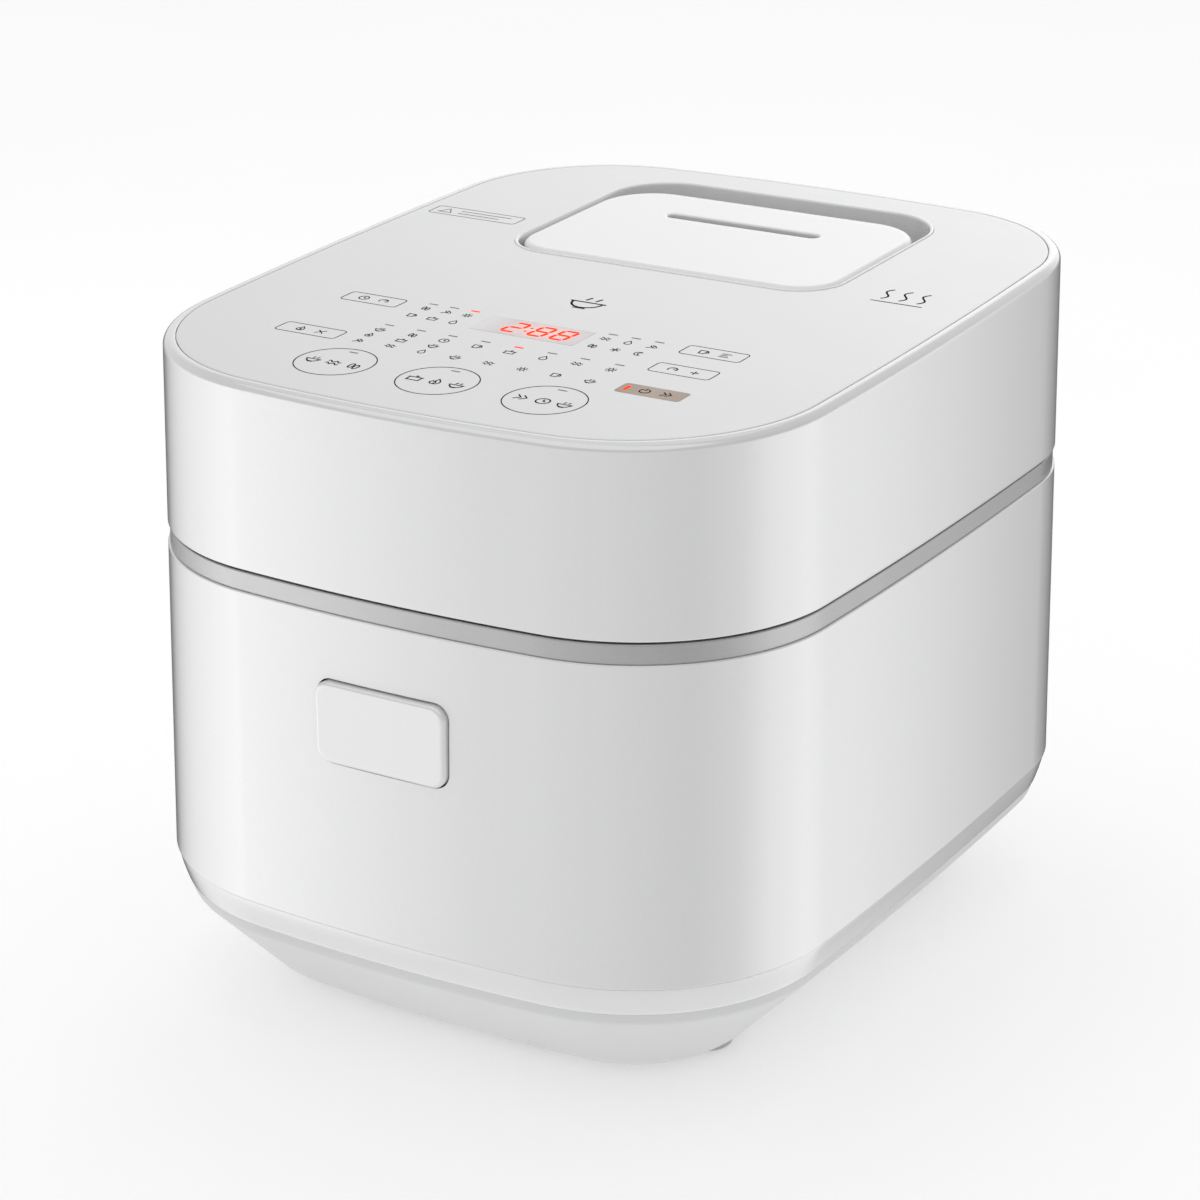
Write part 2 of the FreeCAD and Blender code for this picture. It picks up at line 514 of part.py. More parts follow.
# removable inner lid: pressed disc with steam holes, held in the gasket
disc = revolve([(0, zl - 0.6), (88, zl - 0.6), (93, zl + 1.0), (107.2, zl + 1.0), (107.2, zl + 2.0), (92.6, zl + 2.0), (87.6, zl + 0.4), (0, zl + 0.4)])
holes = [cyl(2.4, 0, VENT_Y, zl - 8, zl + 7)] + [cyl(2.0, 7.0 * math.cos(math.radians(60 * i)), VENT_Y + 7.0 * math.sin(math.radians(60 * i)), zl - 8, zl + 7) for i in range(6)]
disc = disc.cut(holes)
grip = cyl(7.0, 0, PY, zl - 4.6, zl - 0.6)
save("inner_lid", disc)
save("inner_lid_knob", grip.makeFillet(1.2, [x for x in grip.Edges if abs(x.BoundBox.ZMax - zl + 4.6) < 1e-4]))
gas = revolve([(105.6, zl + 0.2), (106.6, zl + 0.2), (107.6, zl - 2.25), (109.6, zl - 2.25), (110.0, zl - 1.0), (112.6, zl + 0.4), (112.6, zl + 3.8), (105.6, zl + 3.8),
               (105.6, zl + 2.0), (107.2, zl + 2.0), (107.2, zl + 1.0), (105.6, zl + 1.0)])
save("lid_gasket", gas)

tube = revolve([(9.0, zl + 2.4), (11.0, zl + 2.4), (11.0, ZP + 2.0), (12.6, ZP + 2.0), (12.6, ZP + 3.2), (9.0, ZP + 3.2)], VENT_Y)
save("vent_tube", tube)

board = rrect(-96, 96, rel(-150), rel(-8), 190, 300, 62.0, 8.0).common(slab(-12.0, -10.4))
board = board.cut([cyl(5.0, x, y, 190, 300) for x, y in LS])
save("display_board", board)
led = box(-23.0, 23.0, rel(-71.0), rel(-53.0), 200, 300).common(slab(-10.4, -1.6))
save("led_display", led)
KEYS = [(-44, -125), (0, -125), (44, -125), (-73, -57), (-73, -99), (70, -54), (70, -76), (71, -101)]
keys = [cyl(3.5, x, rel(y), 200, 300).common(slab(-10.4, -3.2)) for x, y in KEYS]
save("touch_springs", Part.makeCompound(keys))

striker = fuse([box(-8, 8, -151.7, -148.7, zl - 6.0, zl), box(-10, 10, -151.7, -142.0, zl - 1.4, zl)])
save("lid_striker", striker)

arms = []
for s in (-1, 1):
    x0, x1 = (34.4, 50.0) if s > 0 else (-50.0, -34.4)
    hy, hz = HINGE_Y, HINGE_Z
    prof = [(hy - 20.0, hz + 2.4), (hy + 7.8, hz + 2.4), (hy + 7.0, hz + 7.0), (hy - 3.0, hz + 16.0), (hy - 20.0, hz + 18.5)]
    w = Part.makePolygon([V(x0, y, z) for y, z in prof + prof[:1]])
    a = Part.Face(w).extrude(V(x1 - x0, 0, 0))
    a = fuse([a, cyl_x(HINGE_R, x0, x1, HINGE_Y, HINGE_Z)])
    a = a.cut([cyl_x(PIN_R + 0.05, x0 - 1, x1 + 1, HINGE_Y, HINGE_Z), prism(0.0, 150, 300)])
    arms.append(max(a.Solids, key=lambda q: q.Volume))
save("hinge_arms", Part.makeCompound(arms))

# ============================================================== steam valve
cap = rrect(-CAP_X, CAP_X, rel(CAP_Y0), rel(CAP_Y1), 245.0, 300, 18.5, 24.0).cut(above(0.0))
te = [x for x in cap.Edges if all(abs(v.Z - panel_z(v.Y)) < 1e-3 for v in x.Vertexes)]
cap = cap.makeFillet(2.4, te)
cap = cap.cut([rrect(-CAP_X + 2, CAP_X - 2, rel(CAP_Y0 + 2), rel(CAP_Y1 - 2), 200, 300, 16.5, 22.0).cut(above(-2.4)),
               rrect(-34, 34, rel(91.6), rel(97.2), 200, 300, 2.75)])
save("valve_cap", cap)
vb = rrect(-60, 60, rel(33), rel(114), ZP + 4.0, 300, 14.0, 18.0).cut(above(-2.4))
vb = vb.cut(rrect(-58.2, 58.2, rel(34.8), rel(112.2), ZP + 5.8, 300, 12.2, 16.2))
nozzle = cyl(7.5, 0, VENT_Y, ZP - 11.0, ZP + 5.0)
vb = fuse([vb, nozzle]).cut(cyl(5.6, 0, VENT_Y, ZP - 20, ZP + 8))
save("valve_body", vb)
save("valve_gasket", revolve([(7.5, ZP - 7.0), (8.2, ZP - 7.0), (8.7, ZP - 5.8), (8.2, ZP - 4.6), (7.5, ZP - 4.6)], VENT_Y))
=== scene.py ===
import math

import bmesh
import bpy
from mathutils import Matrix, Vector


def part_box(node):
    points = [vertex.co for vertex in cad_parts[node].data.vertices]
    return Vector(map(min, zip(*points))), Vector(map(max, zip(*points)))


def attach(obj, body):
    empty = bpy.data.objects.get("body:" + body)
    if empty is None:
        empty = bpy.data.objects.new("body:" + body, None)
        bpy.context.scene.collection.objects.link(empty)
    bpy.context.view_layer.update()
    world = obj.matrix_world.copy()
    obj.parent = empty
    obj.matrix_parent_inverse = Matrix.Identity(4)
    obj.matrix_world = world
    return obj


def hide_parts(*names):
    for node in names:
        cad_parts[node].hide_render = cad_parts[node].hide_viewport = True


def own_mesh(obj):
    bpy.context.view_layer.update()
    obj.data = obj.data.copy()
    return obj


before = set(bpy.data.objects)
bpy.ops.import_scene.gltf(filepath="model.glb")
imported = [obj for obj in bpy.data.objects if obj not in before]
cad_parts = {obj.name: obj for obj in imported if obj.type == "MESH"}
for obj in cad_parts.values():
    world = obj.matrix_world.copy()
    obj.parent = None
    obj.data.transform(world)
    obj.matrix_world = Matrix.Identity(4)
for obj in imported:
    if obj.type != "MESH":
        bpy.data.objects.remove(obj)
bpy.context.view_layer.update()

MM = 0.001

# ------------------------------------------------------------ design numbers
# The outline and heights below are the design's own, in millimetres.
HALF_W, HALF_D, YC = 135.0, 164.3, -11.0
R_FRONT, R_REAR, R_SIDE, R_CF, R_CR = 720.0, 840.0, 2600.0, 78.0, 68.5
Z_FOOT, Z_BASE, Z_TRIM, Z_LID = 3.0, 42.6, 54.1, 183.4
Z_SHELL, Z_RING, Z_TOP, SLOPE = Z_LID - 8.3, Z_LID - 0.9, 257.4, 0.030
DRAFT = math.tan(math.radians(1.0))
PY = -17.0
PK_X, PK_Y0, PK_Y1, PK_RF, PK_RB = 72.2, 24.4, 140.4, 20.0, 27.0
CAP_X, CAP_Y0, CAP_Y1 = 69.6, 28.2, 124.0
VENT_Y = 48.0
ZP = 225.0
BTN_X, BTN_Z0, BTN_Z1, BTN_Y = 27.4, 119.4, 150.4, -178.0


def panel_z(y, off=0.0):
    """Height of the control-panel plane at y, shifted by off."""
    return Z_TOP + SLOPE * (y - YC) + off


# -------------------------------------------------------------- base loops
def corner_centre(b, re, rc):
    c1x, c2y = HALF_W - R_SIDE, b - re
    r1, r2 = R_SIDE - rc, re - rc
    d = math.hypot(c1x, c2y)
    m = (r1 * r1 - r2 * r2 + d * d) / (2 * d)
    h = math.sqrt(max(r1 * r1 - m * m, 0.0))
    ux, uy = -c1x / d, c2y / d
    px, py = c1x + m * ux, m * uy
    a = (px - h * uy, py + h * ux)
    b2 = (px + h * uy, py - h * ux)
    return a if sum(a) > sum(b2) else b2


CF = corner_centre(HALF_D, R_FRONT, R_CF)
CR = corner_centre(HALF_D, R_REAR, R_CR)


def arcs_loop():
    """The body's outline as [(x, y, nx, ny)], counter-clockwise from the right front tangent point."""
    cf, cr = (CF[0], -CF[1]), CR
    side, front, rear = (HALF_W - R_SIDE, 0.0), (0.0, R_FRONT - HALF_D), (0.0, HALF_D - R_REAR)

    def ang(c, q):
        return math.atan2(q[1] - c[1], q[0] - c[0])

    a_sf, a_sr = ang(side, cf), ang(side, cr)
    a_rr, a_ff = ang(rear, cr), ang(front, cf)
    ns, nc, ne = 28, 44, 28
    right = [(side, R_SIDE, a_sf, a_sr, ns), (cr, R_CR, a_sr, a_rr, nc)]
    rr = [(rear, R_REAR, a_rr, math.pi - a_rr, ne)]
    mir = lambda a: math.pi - a
    crm, cfm, sm = (-cr[0], cr[1]), (-cf[0], cf[1]), (-side[0], 0.0)
    left = [(crm, R_CR, mir(a_rr), mir(a_sr), nc), (sm, R_SIDE, mir(a_sr), mir(a_sf), ns),
            (cfm, R_CF, mir(a_sf), mir(a_ff), nc)]
    last = [(front, R_FRONT, mir(a_ff), a_ff + 2 * math.pi, ne), (cf, R_CF, a_ff + 2 * math.pi, a_sf + 2 * math.pi, nc)]
    out = []
    for c, r, a0, a1, n in right + rr + left + last:
        for i in range(n):
            a = a0 + (a1 - a0) * i / n
            out.append((c[0] + r * math.cos(a), c[1] + r * math.sin(a) , math.cos(a), math.sin(a)))
    return out


BODY_LOOP = arcs_loop()


def rr_loop(x0, x1, y0, y1, r0, r1=None, n=14, ns=6):
    """Rounded rectangle as [(x, y, nx, ny)], counter-clockwise; r0 is the corner radius at low y, r1 at high y."""
    r1 = r0 if r1 is None else r1
    out = []

    def side(p, q, nx, ny):
        for i in range(ns):
            t = i / ns
            out.append((p[0] + (q[0] - p[0]) * t, p[1] + (q[1] - p[1]) * t, nx, ny))

    def arc(cx, cy, r, a0):
        for i in range(n):
            a = math.radians(a0 + 90.0 * i / n)
            out.append((cx + r * math.cos(a), cy + r * math.sin(a), math.cos(a), math.sin(a)))

    side((x1, y0 + r0), (x1, y1 - r1), 1, 0)
    arc(x1 - r1, y1 - r1, r1, 0)
    side((x1 - r1, y1), (x0 + r1, y1), 0, 1)
    arc(x0 + r1, y1 - r1, r1, 90)
    side((x0, y1 - r1), (x0, y0 + r0), -1, 0)
    arc(x0 + r0, y0 + r0, r0, 180)
    side((x0 + r0, y0), (x1 - r0, y0), 0, -1)
    arc(x1 - r0, y0 + r0, r0, 270)
    return out


def circle_loop(cx, cy, r, n=64):
    return [(cx + r * math.cos(2 * math.pi * i / n), cy + r * math.sin(2 * math.pi * i / n),
             math.cos(2 * math.pi * i / n), math.sin(2 * math.pi * i / n)) for i in range(n)]


# ------------------------------------------------------------- mesh builders
def body_ring(d, kind, z):
    """Ring of the drafted wall inset by d. kind 'a': z is a height; 'p': z is an offset from the panel plane."""
    pts = []
    for x, y, nx, ny in BODY_LOOP:
        h = z if kind == "a" else panel_z(y + YC, z)
        for _ in range(2):
            D = d + (h - Z_LID + 4.0) * DRAFT
            px, py = x - nx * D, y - ny * D + YC
            if kind == "p":
                h = panel_z(py, z)
        pts.append(Vector((px * MM, py * MM, h * MM)))
    return pts


def flat_ring(loop, d, kind, z):
    """Ring of a plan loop in the row frame, inset by d."""
    pts = []
    for x, y, nx, ny in loop:
        px, py = x - nx * d, y - ny * d
        h = z if kind == "a" else panel_z(py, z)
        pts.append(Vector((px * MM, py * MM, h * MM)))
    return pts


def arc_pts(u, z, r, a0, a1, n, kind):
    """Points (d, kind, z) round a corner centred at inset -u."""
    out = []
    for i in range(n + 1):
        a = math.radians(a0 + (a1 - a0) * i / n)
        out.append((-(u + r * math.cos(a)), kind, z + r * math.sin(a)))
    return out


def round_profile(points, radii, seg=6):
    """Rounds the corners of an open or closed [(u, z)] polygon."""
    n = len(points)
    out = []
    for i in range(n):
        p = Vector(points[i])
        r = radii[i]
        a, b = Vector(points[i - 1]), Vector(points[(i + 1) % n])
        if r <= 0:
            out.append(tuple(p))
            continue
        da, db = (a - p), (b - p)
        la, lb = da.length, db.length
        da.normalize(), db.normalize()
        half = math.acos(max(-1, min(1, da.dot(db)))) / 2
        t = min(r / math.tan(half), la * 0.48, lb * 0.48)
        s, e = p + da * t, p + db * t
        for k in range(seg + 1):
            w = k / seg
            q = (1 - w) ** 2 * s + 2 * w * (1 - w) * p + w * w * e
            out.append(tuple(q))
    return out


class Builder:
    """Collects rings, strips and caps of one mesh."""

    def __init__(self):
        self.bm = bmesh.new()
        self.flat_caps = []

    def ring(self, pts):
        return [self.bm.verts.new(p) for p in pts]

    def strip(self, a, b, closed=True):
        n = len(a)
        for i in range(n if closed else n - 1):
            j = (i + 1) % n
            self.bm.faces.new((a[i], a[j], b[j], b[i]))

    def skin(self, rings, close_profile=False):
        rv = [self.ring(r) for r in rings]
        for a, b in zip(rv, rv[1:]):
            self.strip(a, b)
        if close_profile:
            self.strip(rv[-1], rv[0])
        return rv

    def cap(self, loops):
        """Fills a planar region bounded by vertex loops, holes allowed. Its rim is a hard edge, so the flat shades flat."""
        edges = []
        for lp in loops:
            n = len(lp)
            for i in range(n):
                a, b = lp[i], lp[(i + 1) % n]
                e = self.bm.edges.get((a, b)) or self.bm.edges.new((a, b))
                edges.append(e)
        if len(loops) == 1:
            f = self.bm.faces.new(loops[0])
        else:
            bmesh.ops.triangle_fill(self.bm, use_beauty=True, use_dissolve=False, edges=edges)
        self.flat_caps += edges

    def done(self, name, material, body, slot, *nodes, sharp=32.0, recalc=True):
        bm = self.bm
        if recalc:
            bmesh.ops.recalc_face_normals(bm, faces=bm.faces[:])
        for f in bm.faces:
            f.smooth = True
        lim = math.radians(sharp)
        for e in bm.edges:
            if len(e.link_faces) == 2 and e.calc_face_angle(0) > lim:
                e.smooth = False
        for e in self.flat_caps:
            if e.is_valid:
                e.smooth = False
        me = bpy.data.meshes.new(name)
        bm.to_mesh(me)
        bm.free()
        return place(name, me, material, body, slot, *nodes)


def place(name, me, material, body, slot, *nodes):
    ob = bpy.data.objects.new(name, me)
    bpy.context.scene.collection.objects.link(ob)
    me.materials.clear()
    me.materials.append(material)
    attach(ob, body)
    if nodes:
        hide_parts(*nodes)
    return ob


# ---------------------------------------------------------------- materials
class Mat:
    """A node material round one Principled shader, in object coordinates."""

    def __init__(self, name, rough=0.4, metal=0.0, coat=0.0, coat_rough=0.03, ior=1.5, spec=0.5):
        self.m = bpy.data.materials.new(name)
        self.m.use_nodes = True
        self.t = self.m.node_tree
        self.n = self.t.nodes
        self.b = self.n["Principled BSDF"]
        i = self.b.inputs
        i["Roughness"].default_value = rough
        i["Metallic"].default_value = metal
        i["Coat Weight"].default_value = coat
        i["Coat Roughness"].default_value = coat_rough
        i["IOR"].default_value = ior
        i["Specular IOR Level"].default_value = spec
        self.tc = self.n.new("ShaderNodeTexCoord")

    def link(self, a, b):
        self.t.links.new(a, b)

    def coords(self, scale=(1, 1, 1), loc=(0, 0, 0), rot=(0, 0, 0)):
        mp = self.n.new("ShaderNodeMapping")
        mp.inputs["Scale"].default_value = scale
        mp.inputs["Location"].default_value = loc
        mp.inputs["Rotation"].default_value = rot
        self.link(self.tc.outputs["Object"], mp.inputs["Vector"])
        return mp.outputs["Vector"]

    def noise(self, scale, detail=4.0, rough=0.55, vec=None):
        nz = self.n.new("ShaderNodeTexNoise")
        nz.inputs["Scale"].default_value = scale
        nz.inputs["Detail"].default_value = detail
        nz.inputs["Roughness"].default_value = rough
        self.link(vec if vec is not None else self.tc.outputs["Object"], nz.inputs["Vector"])
        return nz.outputs["Fac"]

    def ramp(self, fac, stops, interp="LINEAR"):
        r = self.n.new("ShaderNodeValToRGB")
        r.color_ramp.interpolation = interp
        e = r.color_ramp.elements
        while len(e) > len(stops):
            e.remove(e[-1])
        while len(e) < len(stops):
            e.new(0.5)
        for k, (p, c) in zip(e, stops):
            k.position = p
            k.color = (*c, 1.0) if len(c) == 3 else c
        self.link(fac, r.inputs["Fac"])
        return r.outputs["Color"]

    def mix(self, fac, a, b, mode="MIX"):
        mx = self.n.new("ShaderNodeMix")
        mx.data_type = "RGBA"
        mx.blend_type = mode
        for s, v in ((0, fac), (6, a), (7, b)):
            if isinstance(v, (int, float)):
                mx.inputs[s].default_value = v
            elif isinstance(v, tuple):
                mx.inputs[s].default_value = (*v, 1.0)
            else:
                self.link(v, mx.inputs[s])
        return mx.outputs[2]

    def math(self, op, a, b=0.0, c=0.0):
        m = self.n.new("ShaderNodeMath")
        m.operation = op
        for s, v in zip(m.inputs, (a, b, c)):
            if isinstance(v, (int, float)):
                s.default_value = v
            else:
                self.link(v, s)
        return m.outputs[0]

    def xyz(self, vec=None):
        s = self.n.new("ShaderNodeSeparateXYZ")
        self.link(vec if vec is not None else self.tc.outputs["Object"], s.inputs[0])
        return s.outputs

    def rng(self, fac, lo, hi, a=0.0, b=1.0):
        m = self.n.new("ShaderNodeMapRange")
        m.inputs["From Min"].default_value = a
        m.inputs["From Max"].default_value = b
        m.inputs["To Min"].default_value = lo
        m.inputs["To Max"].default_value = hi
        self.link(fac, m.inputs["Value"])
        return m.outputs["Result"]

    def color(self, out):
        self.link(out, self.b.inputs["Base Color"])
        return self

    def rough(self, out):
        self.link(out, self.b.inputs["Roughness"])
        return self

    def bump(self, h, strength=0.2, dist=0.0002, coat=False):
        bp = self.n.new("ShaderNodeBump")
        bp.inputs["Strength"].default_value = strength
        bp.inputs["Distance"].default_value = dist
        self.link(h, bp.inputs["Height"])
        self.link(bp.outputs["Normal"], self.b.inputs["Normal"])
        if coat:
            self.link(bp.outputs["Normal"], self.b.inputs["Coat Normal"])
        return self


def tone(c, k):
    return tuple(min(1.0, v * k) for v in c)


def gloss(name, col, rough=0.22, coat=1.0, coat_rough=0.035, spread=0.012, swirl=0.02, ior=1.5):
    """Injection-moulded gloss plastic: faint flow clouding, polished skin with hairline wear."""
    m = Mat(name, rough=rough, coat=coat, coat_rough=coat_rough)
    m.b.inputs["Coat IOR"].default_value = ior
    cloud = m.noise(9.0, 3.0, 0.5)
    fine = m.noise(900.0, 2.0, 0.6)
    c = m.ramp(cloud, [(0.25, tone(col, 1 - spread)), (0.75, tone(col, 1 + spread))])
    speck = m.ramp(fine, [(0.35, (0.985, 0.985, 0.985)), (0.65, (1.0, 1.0, 1.0))])
    m.color(m.mix(1.0, c, speck, "MULTIPLY"))
    scratch = m.noise(60.0, 6.0, 0.7, m.coords((1.0, 1.0, 6.0)))
    m.rough(m.rng(scratch, rough - swirl, rough + swirl, 0.3, 0.7))
    m.bump(m.noise(26.0, 2.0, 0.4), 0.035, 0.00025)
    return m.m


def satin(name, col, rough=0.48, grain=2600.0, strength=0.12, spread=0.03, coat=0.0):
    """Spark-eroded moulded plastic: fine grain in bump and roughness."""
    m = Mat(name, rough=rough, coat=coat)
    g = m.noise(grain, 3.0, 0.6)
    cloud = m.noise(14.0, 3.0, 0.5)
    c = m.ramp(cloud, [(0.2, tone(col, 1 - spread)), (0.8, tone(col, 1 + spread))])
    dots = m.ramp(g, [(0.3, (0.95, 0.95, 0.95)), (0.7, (1, 1, 1))])
    m.color(m.mix(1.0, c, dots, "MULTIPLY"))
    m.rough(m.rng(g, rough - 0.07, rough + 0.07, 0.3, 0.7))
    m.bump(g, strength, 0.00012)
    return m.m


def metal(name, col, rough=0.3, stretch=(1, 1, 1), scale=700.0, depth=0.1, spread=0.06, metallic=1.0):
    """Drawn, brushed or pressed metal: streaks along one direction."""
    m = Mat(name, rough=rough, metal=metallic)
    v = m.coords(stretch)
    s = m.noise(scale, 5.0, 0.65, v)
    stain = m.noise(22.0, 4.0, 0.6)
    c = m.ramp(s, [(0.3, tone(col, 1 - spread)), (0.7, tone(col, 1 + spread))])
    c2 = m.ramp(stain, [(0.3, (0.93, 0.93, 0.93)), (0.7, (1, 1, 1))])
    m.color(m.mix(1.0, c, c2, "MULTIPLY"))
    m.rough(m.rng(s, rough - 0.08, rough + 0.10, 0.3, 0.7))
    m.bump(s, depth, 0.00008)
    return m.m


def ring_brushed(name, col, rough=0.3, cx=0.0, cy=PY, pitch=1400.0, metallic=1.0, depth=0.12):
    """Metal spun about a vertical axis: concentric turning marks."""
    m = Mat(name, rough=rough, metal=metallic)
    o = m.xyz()
    dx = m.math("SUBTRACT", o[0], cx * MM)
    dy = m.math("SUBTRACT", o[1], cy * MM)
    r = m.math("SQRT", m.math("ADD", m.math("MULTIPLY", dx, dx), m.math("MULTIPLY", dy, dy)))
    cb = m.n.new("ShaderNodeCombineXYZ")
    m.link(m.math("MULTIPLY", r, pitch), cb.inputs[0])
    m.link(m.math("MULTIPLY", o[2], pitch * 0.6), cb.inputs[1])
    s = m.noise(1.0, 3.0, 0.6, cb.outputs[0])
    stain = m.noise(18.0, 4.0, 0.6)
    c = m.ramp(s, [(0.3, tone(col, 0.9)), (0.7, tone(col, 1.07))])
    m.color(m.mix(1.0, c, m.ramp(stain, [(0.3, (0.93, 0.93, 0.94)), (0.7, (1, 1, 1))]), "MULTIPLY"))
    m.rough(m.rng(s, rough - 0.07, rough + 0.09, 0.3, 0.7))
    m.bump(s, depth, 0.00008)
    return m.m


def coating(name):
    """Stone-speckled non-stick coating."""
    m = Mat(name, rough=0.42, spec=0.5)
    vo = m.n.new("ShaderNodeTexVoronoi")
    vo.inputs["Scale"].default_value = 900.0
    m.link(m.tc.outputs["Object"], vo.inputs["Vector"])
    sp = m.ramp(vo.outputs["Distance"], [(0.0, (1, 1, 1)), (0.16, (0, 0, 0))])
    pick = m.ramp(m.noise(420.0, 2.0, 0.5), [(0.52, (0, 0, 0)), (0.60, (1, 1, 1))])
    base = m.ramp(m.noise(16.0, 4.0, 0.5), [(0.2, (0.062, 0.062, 0.066)), (0.8, (0.095, 0.094, 0.097))])
    fac = m.mix(1.0, sp, pick, "MULTIPLY")
    m.color(m.mix(fac, base, (0.46, 0.45, 0.44)))
    g = m.noise(1500.0, 3.0, 0.6)
    m.rough(m.rng(g, 0.34, 0.52, 0.3, 0.7))
    m.bump(g, 0.15, 0.0001)
    return m.m


def rubber(name, col, rough=0.7):
    m = Mat(name, rough=rough, spec=0.35)
    g = m.noise(1800.0, 4.0, 0.65)
    dust = m.noise(70.0, 4.0, 0.6)
    m.color(m.ramp(dust, [(0.3, tone(col, 0.9)), (0.75, tone(col, 1.12))]))
    m.rough(m.rng(g, rough - 0.08, rough + 0.1, 0.3, 0.7))
    m.bump(g, 0.2, 0.0001)
    return m.m


def silicone(name, col):
    m = Mat(name, rough=0.5, spec=0.45)
    m.b.inputs["Subsurface Weight"].default_value = 0.15
    m.b.inputs["Subsurface Scale"].default_value = 0.002
    m.color(m.ramp(m.noise(30.0, 3.0, 0.5), [(0.3, tone(col, 0.96)), (0.7, tone(col, 1.03))]))
    g = m.noise(1600.0, 3.0, 0.6)
    m.rough(m.rng(g, 0.44, 0.58, 0.3, 0.7))
    m.bump(g, 0.1, 0.00008)
    return m.m


def winding(name):
    """Enamelled litz wire, wound in a spiral about the pot's axis, with painted shade in the grooves between turns and
    a painted highlight along each turn.
    """
    m = Mat(name, rough=0.3, metal=0.75, coat=0.6, coat_rough=0.12)
    o = m.xyz()
    dy = m.math("SUBTRACT", o[1], PY * MM)
    r = m.math("SQRT", m.math("ADD", m.math("MULTIPLY", o[0], o[0]), m.math("MULTIPLY", dy, dy)))
    t = m.math("ARCTAN2", dy, o[0])
    w = m.math("SINE", m.math("ADD", m.math("MULTIPLY", r, 2 * math.pi / 0.0026), t))
    strand = m.math("SINE", m.math("ADD", m.math("MULTIPLY", t, 240.0), m.math("MULTIPLY", r, 4000.0)))
    # painted shade and highlight: dark in the grooves between turns, light on each turn's crest; the strand stripes
    # mixed in below are painted shade and highlight too
    c = m.ramp(m.rng(w, 0, 1, -1, 1), [(0.0, (0.16, 0.06, 0.02)), (0.45, (0.55, 0.24, 0.09)), (1.0, (0.75, 0.36, 0.15))])
    m.color(m.mix(0.25, c, m.ramp(m.rng(strand, 0, 1, -1, 1), [(0, (0.25, 0.1, 0.04)), (1, (0.8, 0.42, 0.2))])))
    m.rough(m.rng(m.noise(500.0, 3.0), 0.24, 0.4, 0.3, 0.7))
    m.bump(w, 0.6, 0.0004)
    return m.m


def board(name):
    """Solder mask with traces and pads."""
    m = Mat(name, rough=0.35, coat=0.5, coat_rough=0.15)
    br = m.n.new("ShaderNodeTexBrick")
    br.inputs["Scale"].default_value = 90.0
    br.inputs["Mortar Size"].default_value = 0.05
    br.inputs["Color1"].default_value = (0.010, 0.085, 0.035, 1)
    br.inputs["Color2"].default_value = (0.014, 0.11, 0.045, 1)
    br.inputs["Mortar"].default_value = (0.03, 0.22, 0.09, 1)
    m.link(m.coords((1, 1, 1), (0.3, 0.1, 0.2)), br.inputs["Vector"])
    vo = m.n.new("ShaderNodeTexVoronoi")
    vo.inputs["Scale"].default_value = 160.0
    m.link(m.tc.outputs["Object"], vo.inputs["Vector"])
    pad = m.ramp(vo.outputs["Distance"], [(0.12, (1, 1, 1)), (0.16, (0, 0, 0))])
    m.color(m.mix(pad, br.outputs["Color"], (0.62, 0.60, 0.52)))
    m.rough(m.rng(m.noise(300.0, 3.0), 0.28, 0.45, 0.3, 0.7))
    m.bump(pad, 0.2, 0.0001)
    return m.m


WHITE = (0.80, 0.805, 0.815)
M_SHELL = gloss("gloss_white_shell", (0.70, 0.702, 0.705), 0.30, 1.0, 0.05, ior=2.0)
M_LID = gloss("gloss_white_lid", (0.70, 0.702, 0.705), 0.30, 1.0, 0.05, ior=2.0)
M_PANEL = gloss("panel_film_white", (0.70, 0.702, 0.706), 0.32, 0.8, 0.08, 0.02)
M_CAP = gloss("gloss_white_cap", (0.86, 0.861, 0.863), 0.34, 0.8, 0.10, 0.008, 0.01)
# painted light: the recess liner's white is set lighter than the shell's to lift the shade inside the recess
M_POCKET = gloss("gloss_white_pocket", (0.83, 0.831, 0.834), 0.28, 0.8, 0.06)
M_TRIM = gloss("gloss_white_trim", (0.72, 0.722, 0.725), 0.32, 1.0, 0.07, ior=2.0)
M_BUTTON = gloss("gloss_white_button", (0.74, 0.742, 0.745), 0.30, 1.0, 0.05, ior=2.0)
M_BASE = satin("satin_white_base", (0.72, 0.722, 0.725), 0.50)
M_REAR = satin("satin_white_rear", (0.70, 0.705, 0.715), 0.46)
M_DECK = satin("satin_grey_deck", (0.52, 0.525, 0.535), 0.42)
M_LINER = satin("satin_grey_liner", (0.56, 0.565, 0.575), 0.40)
M_SILVER = metal("satin_silver_paint", (0.40, 0.40, 0.404), 0.34, (1, 1, 30), 260.0, 0.03, 0.05, 0.62)
M_RUBBER = rubber("pale_grey_rubber", (0.50, 0.50, 0.505))
M_SIL = silicone("translucent_silicone", (0.42, 0.43, 0.44))
M_BLACK = satin("black_filled_plastic", (0.018, 0.018, 0.020), 0.45, 1800.0, 0.2, 0.15)
M_ALU = ring_brushed("pressed_aluminium", (0.56, 0.56, 0.57), 0.42)
M_FOIL = metal("heater_foil", (0.70, 0.70, 0.71), 0.22, (1, 1, 14), 300.0, 0.3)
M_COIL = winding("litz_copper")
M_FERRITE = satin("sintered_ferrite", (0.028, 0.028, 0.031), 0.62, 1200.0, 0.3, 0.2)
M_STEEL = ring_brushed("spun_steel", (0.62, 0.62, 0.63), 0.26)
M_SPRING = metal("spring_wire", (0.42, 0.42, 0.43), 0.24, (1, 1, 1), 900.0, 0.1)
M_PIN = metal("ground_pin_steel", (0.50, 0.50, 0.51), 0.2, (0.05, 1, 1), 1600.0, 0.1)
M_SCREW = metal("zinc_plated_screw", (0.46, 0.46, 0.48), 0.3, (1, 1, 1), 800.0, 0.15)
M_LIDSTEEL = ring_brushed("brushed_inner_lid", (0.40, 0.40, 0.405), 0.34, 0.0, PY, 1800.0)
M_BRASS = metal("plated_contact", (0.62, 0.48, 0.20), 0.24, (1, 0.1, 1), 1200.0, 0.1)
M_PCB = board("circuit_board_mask")
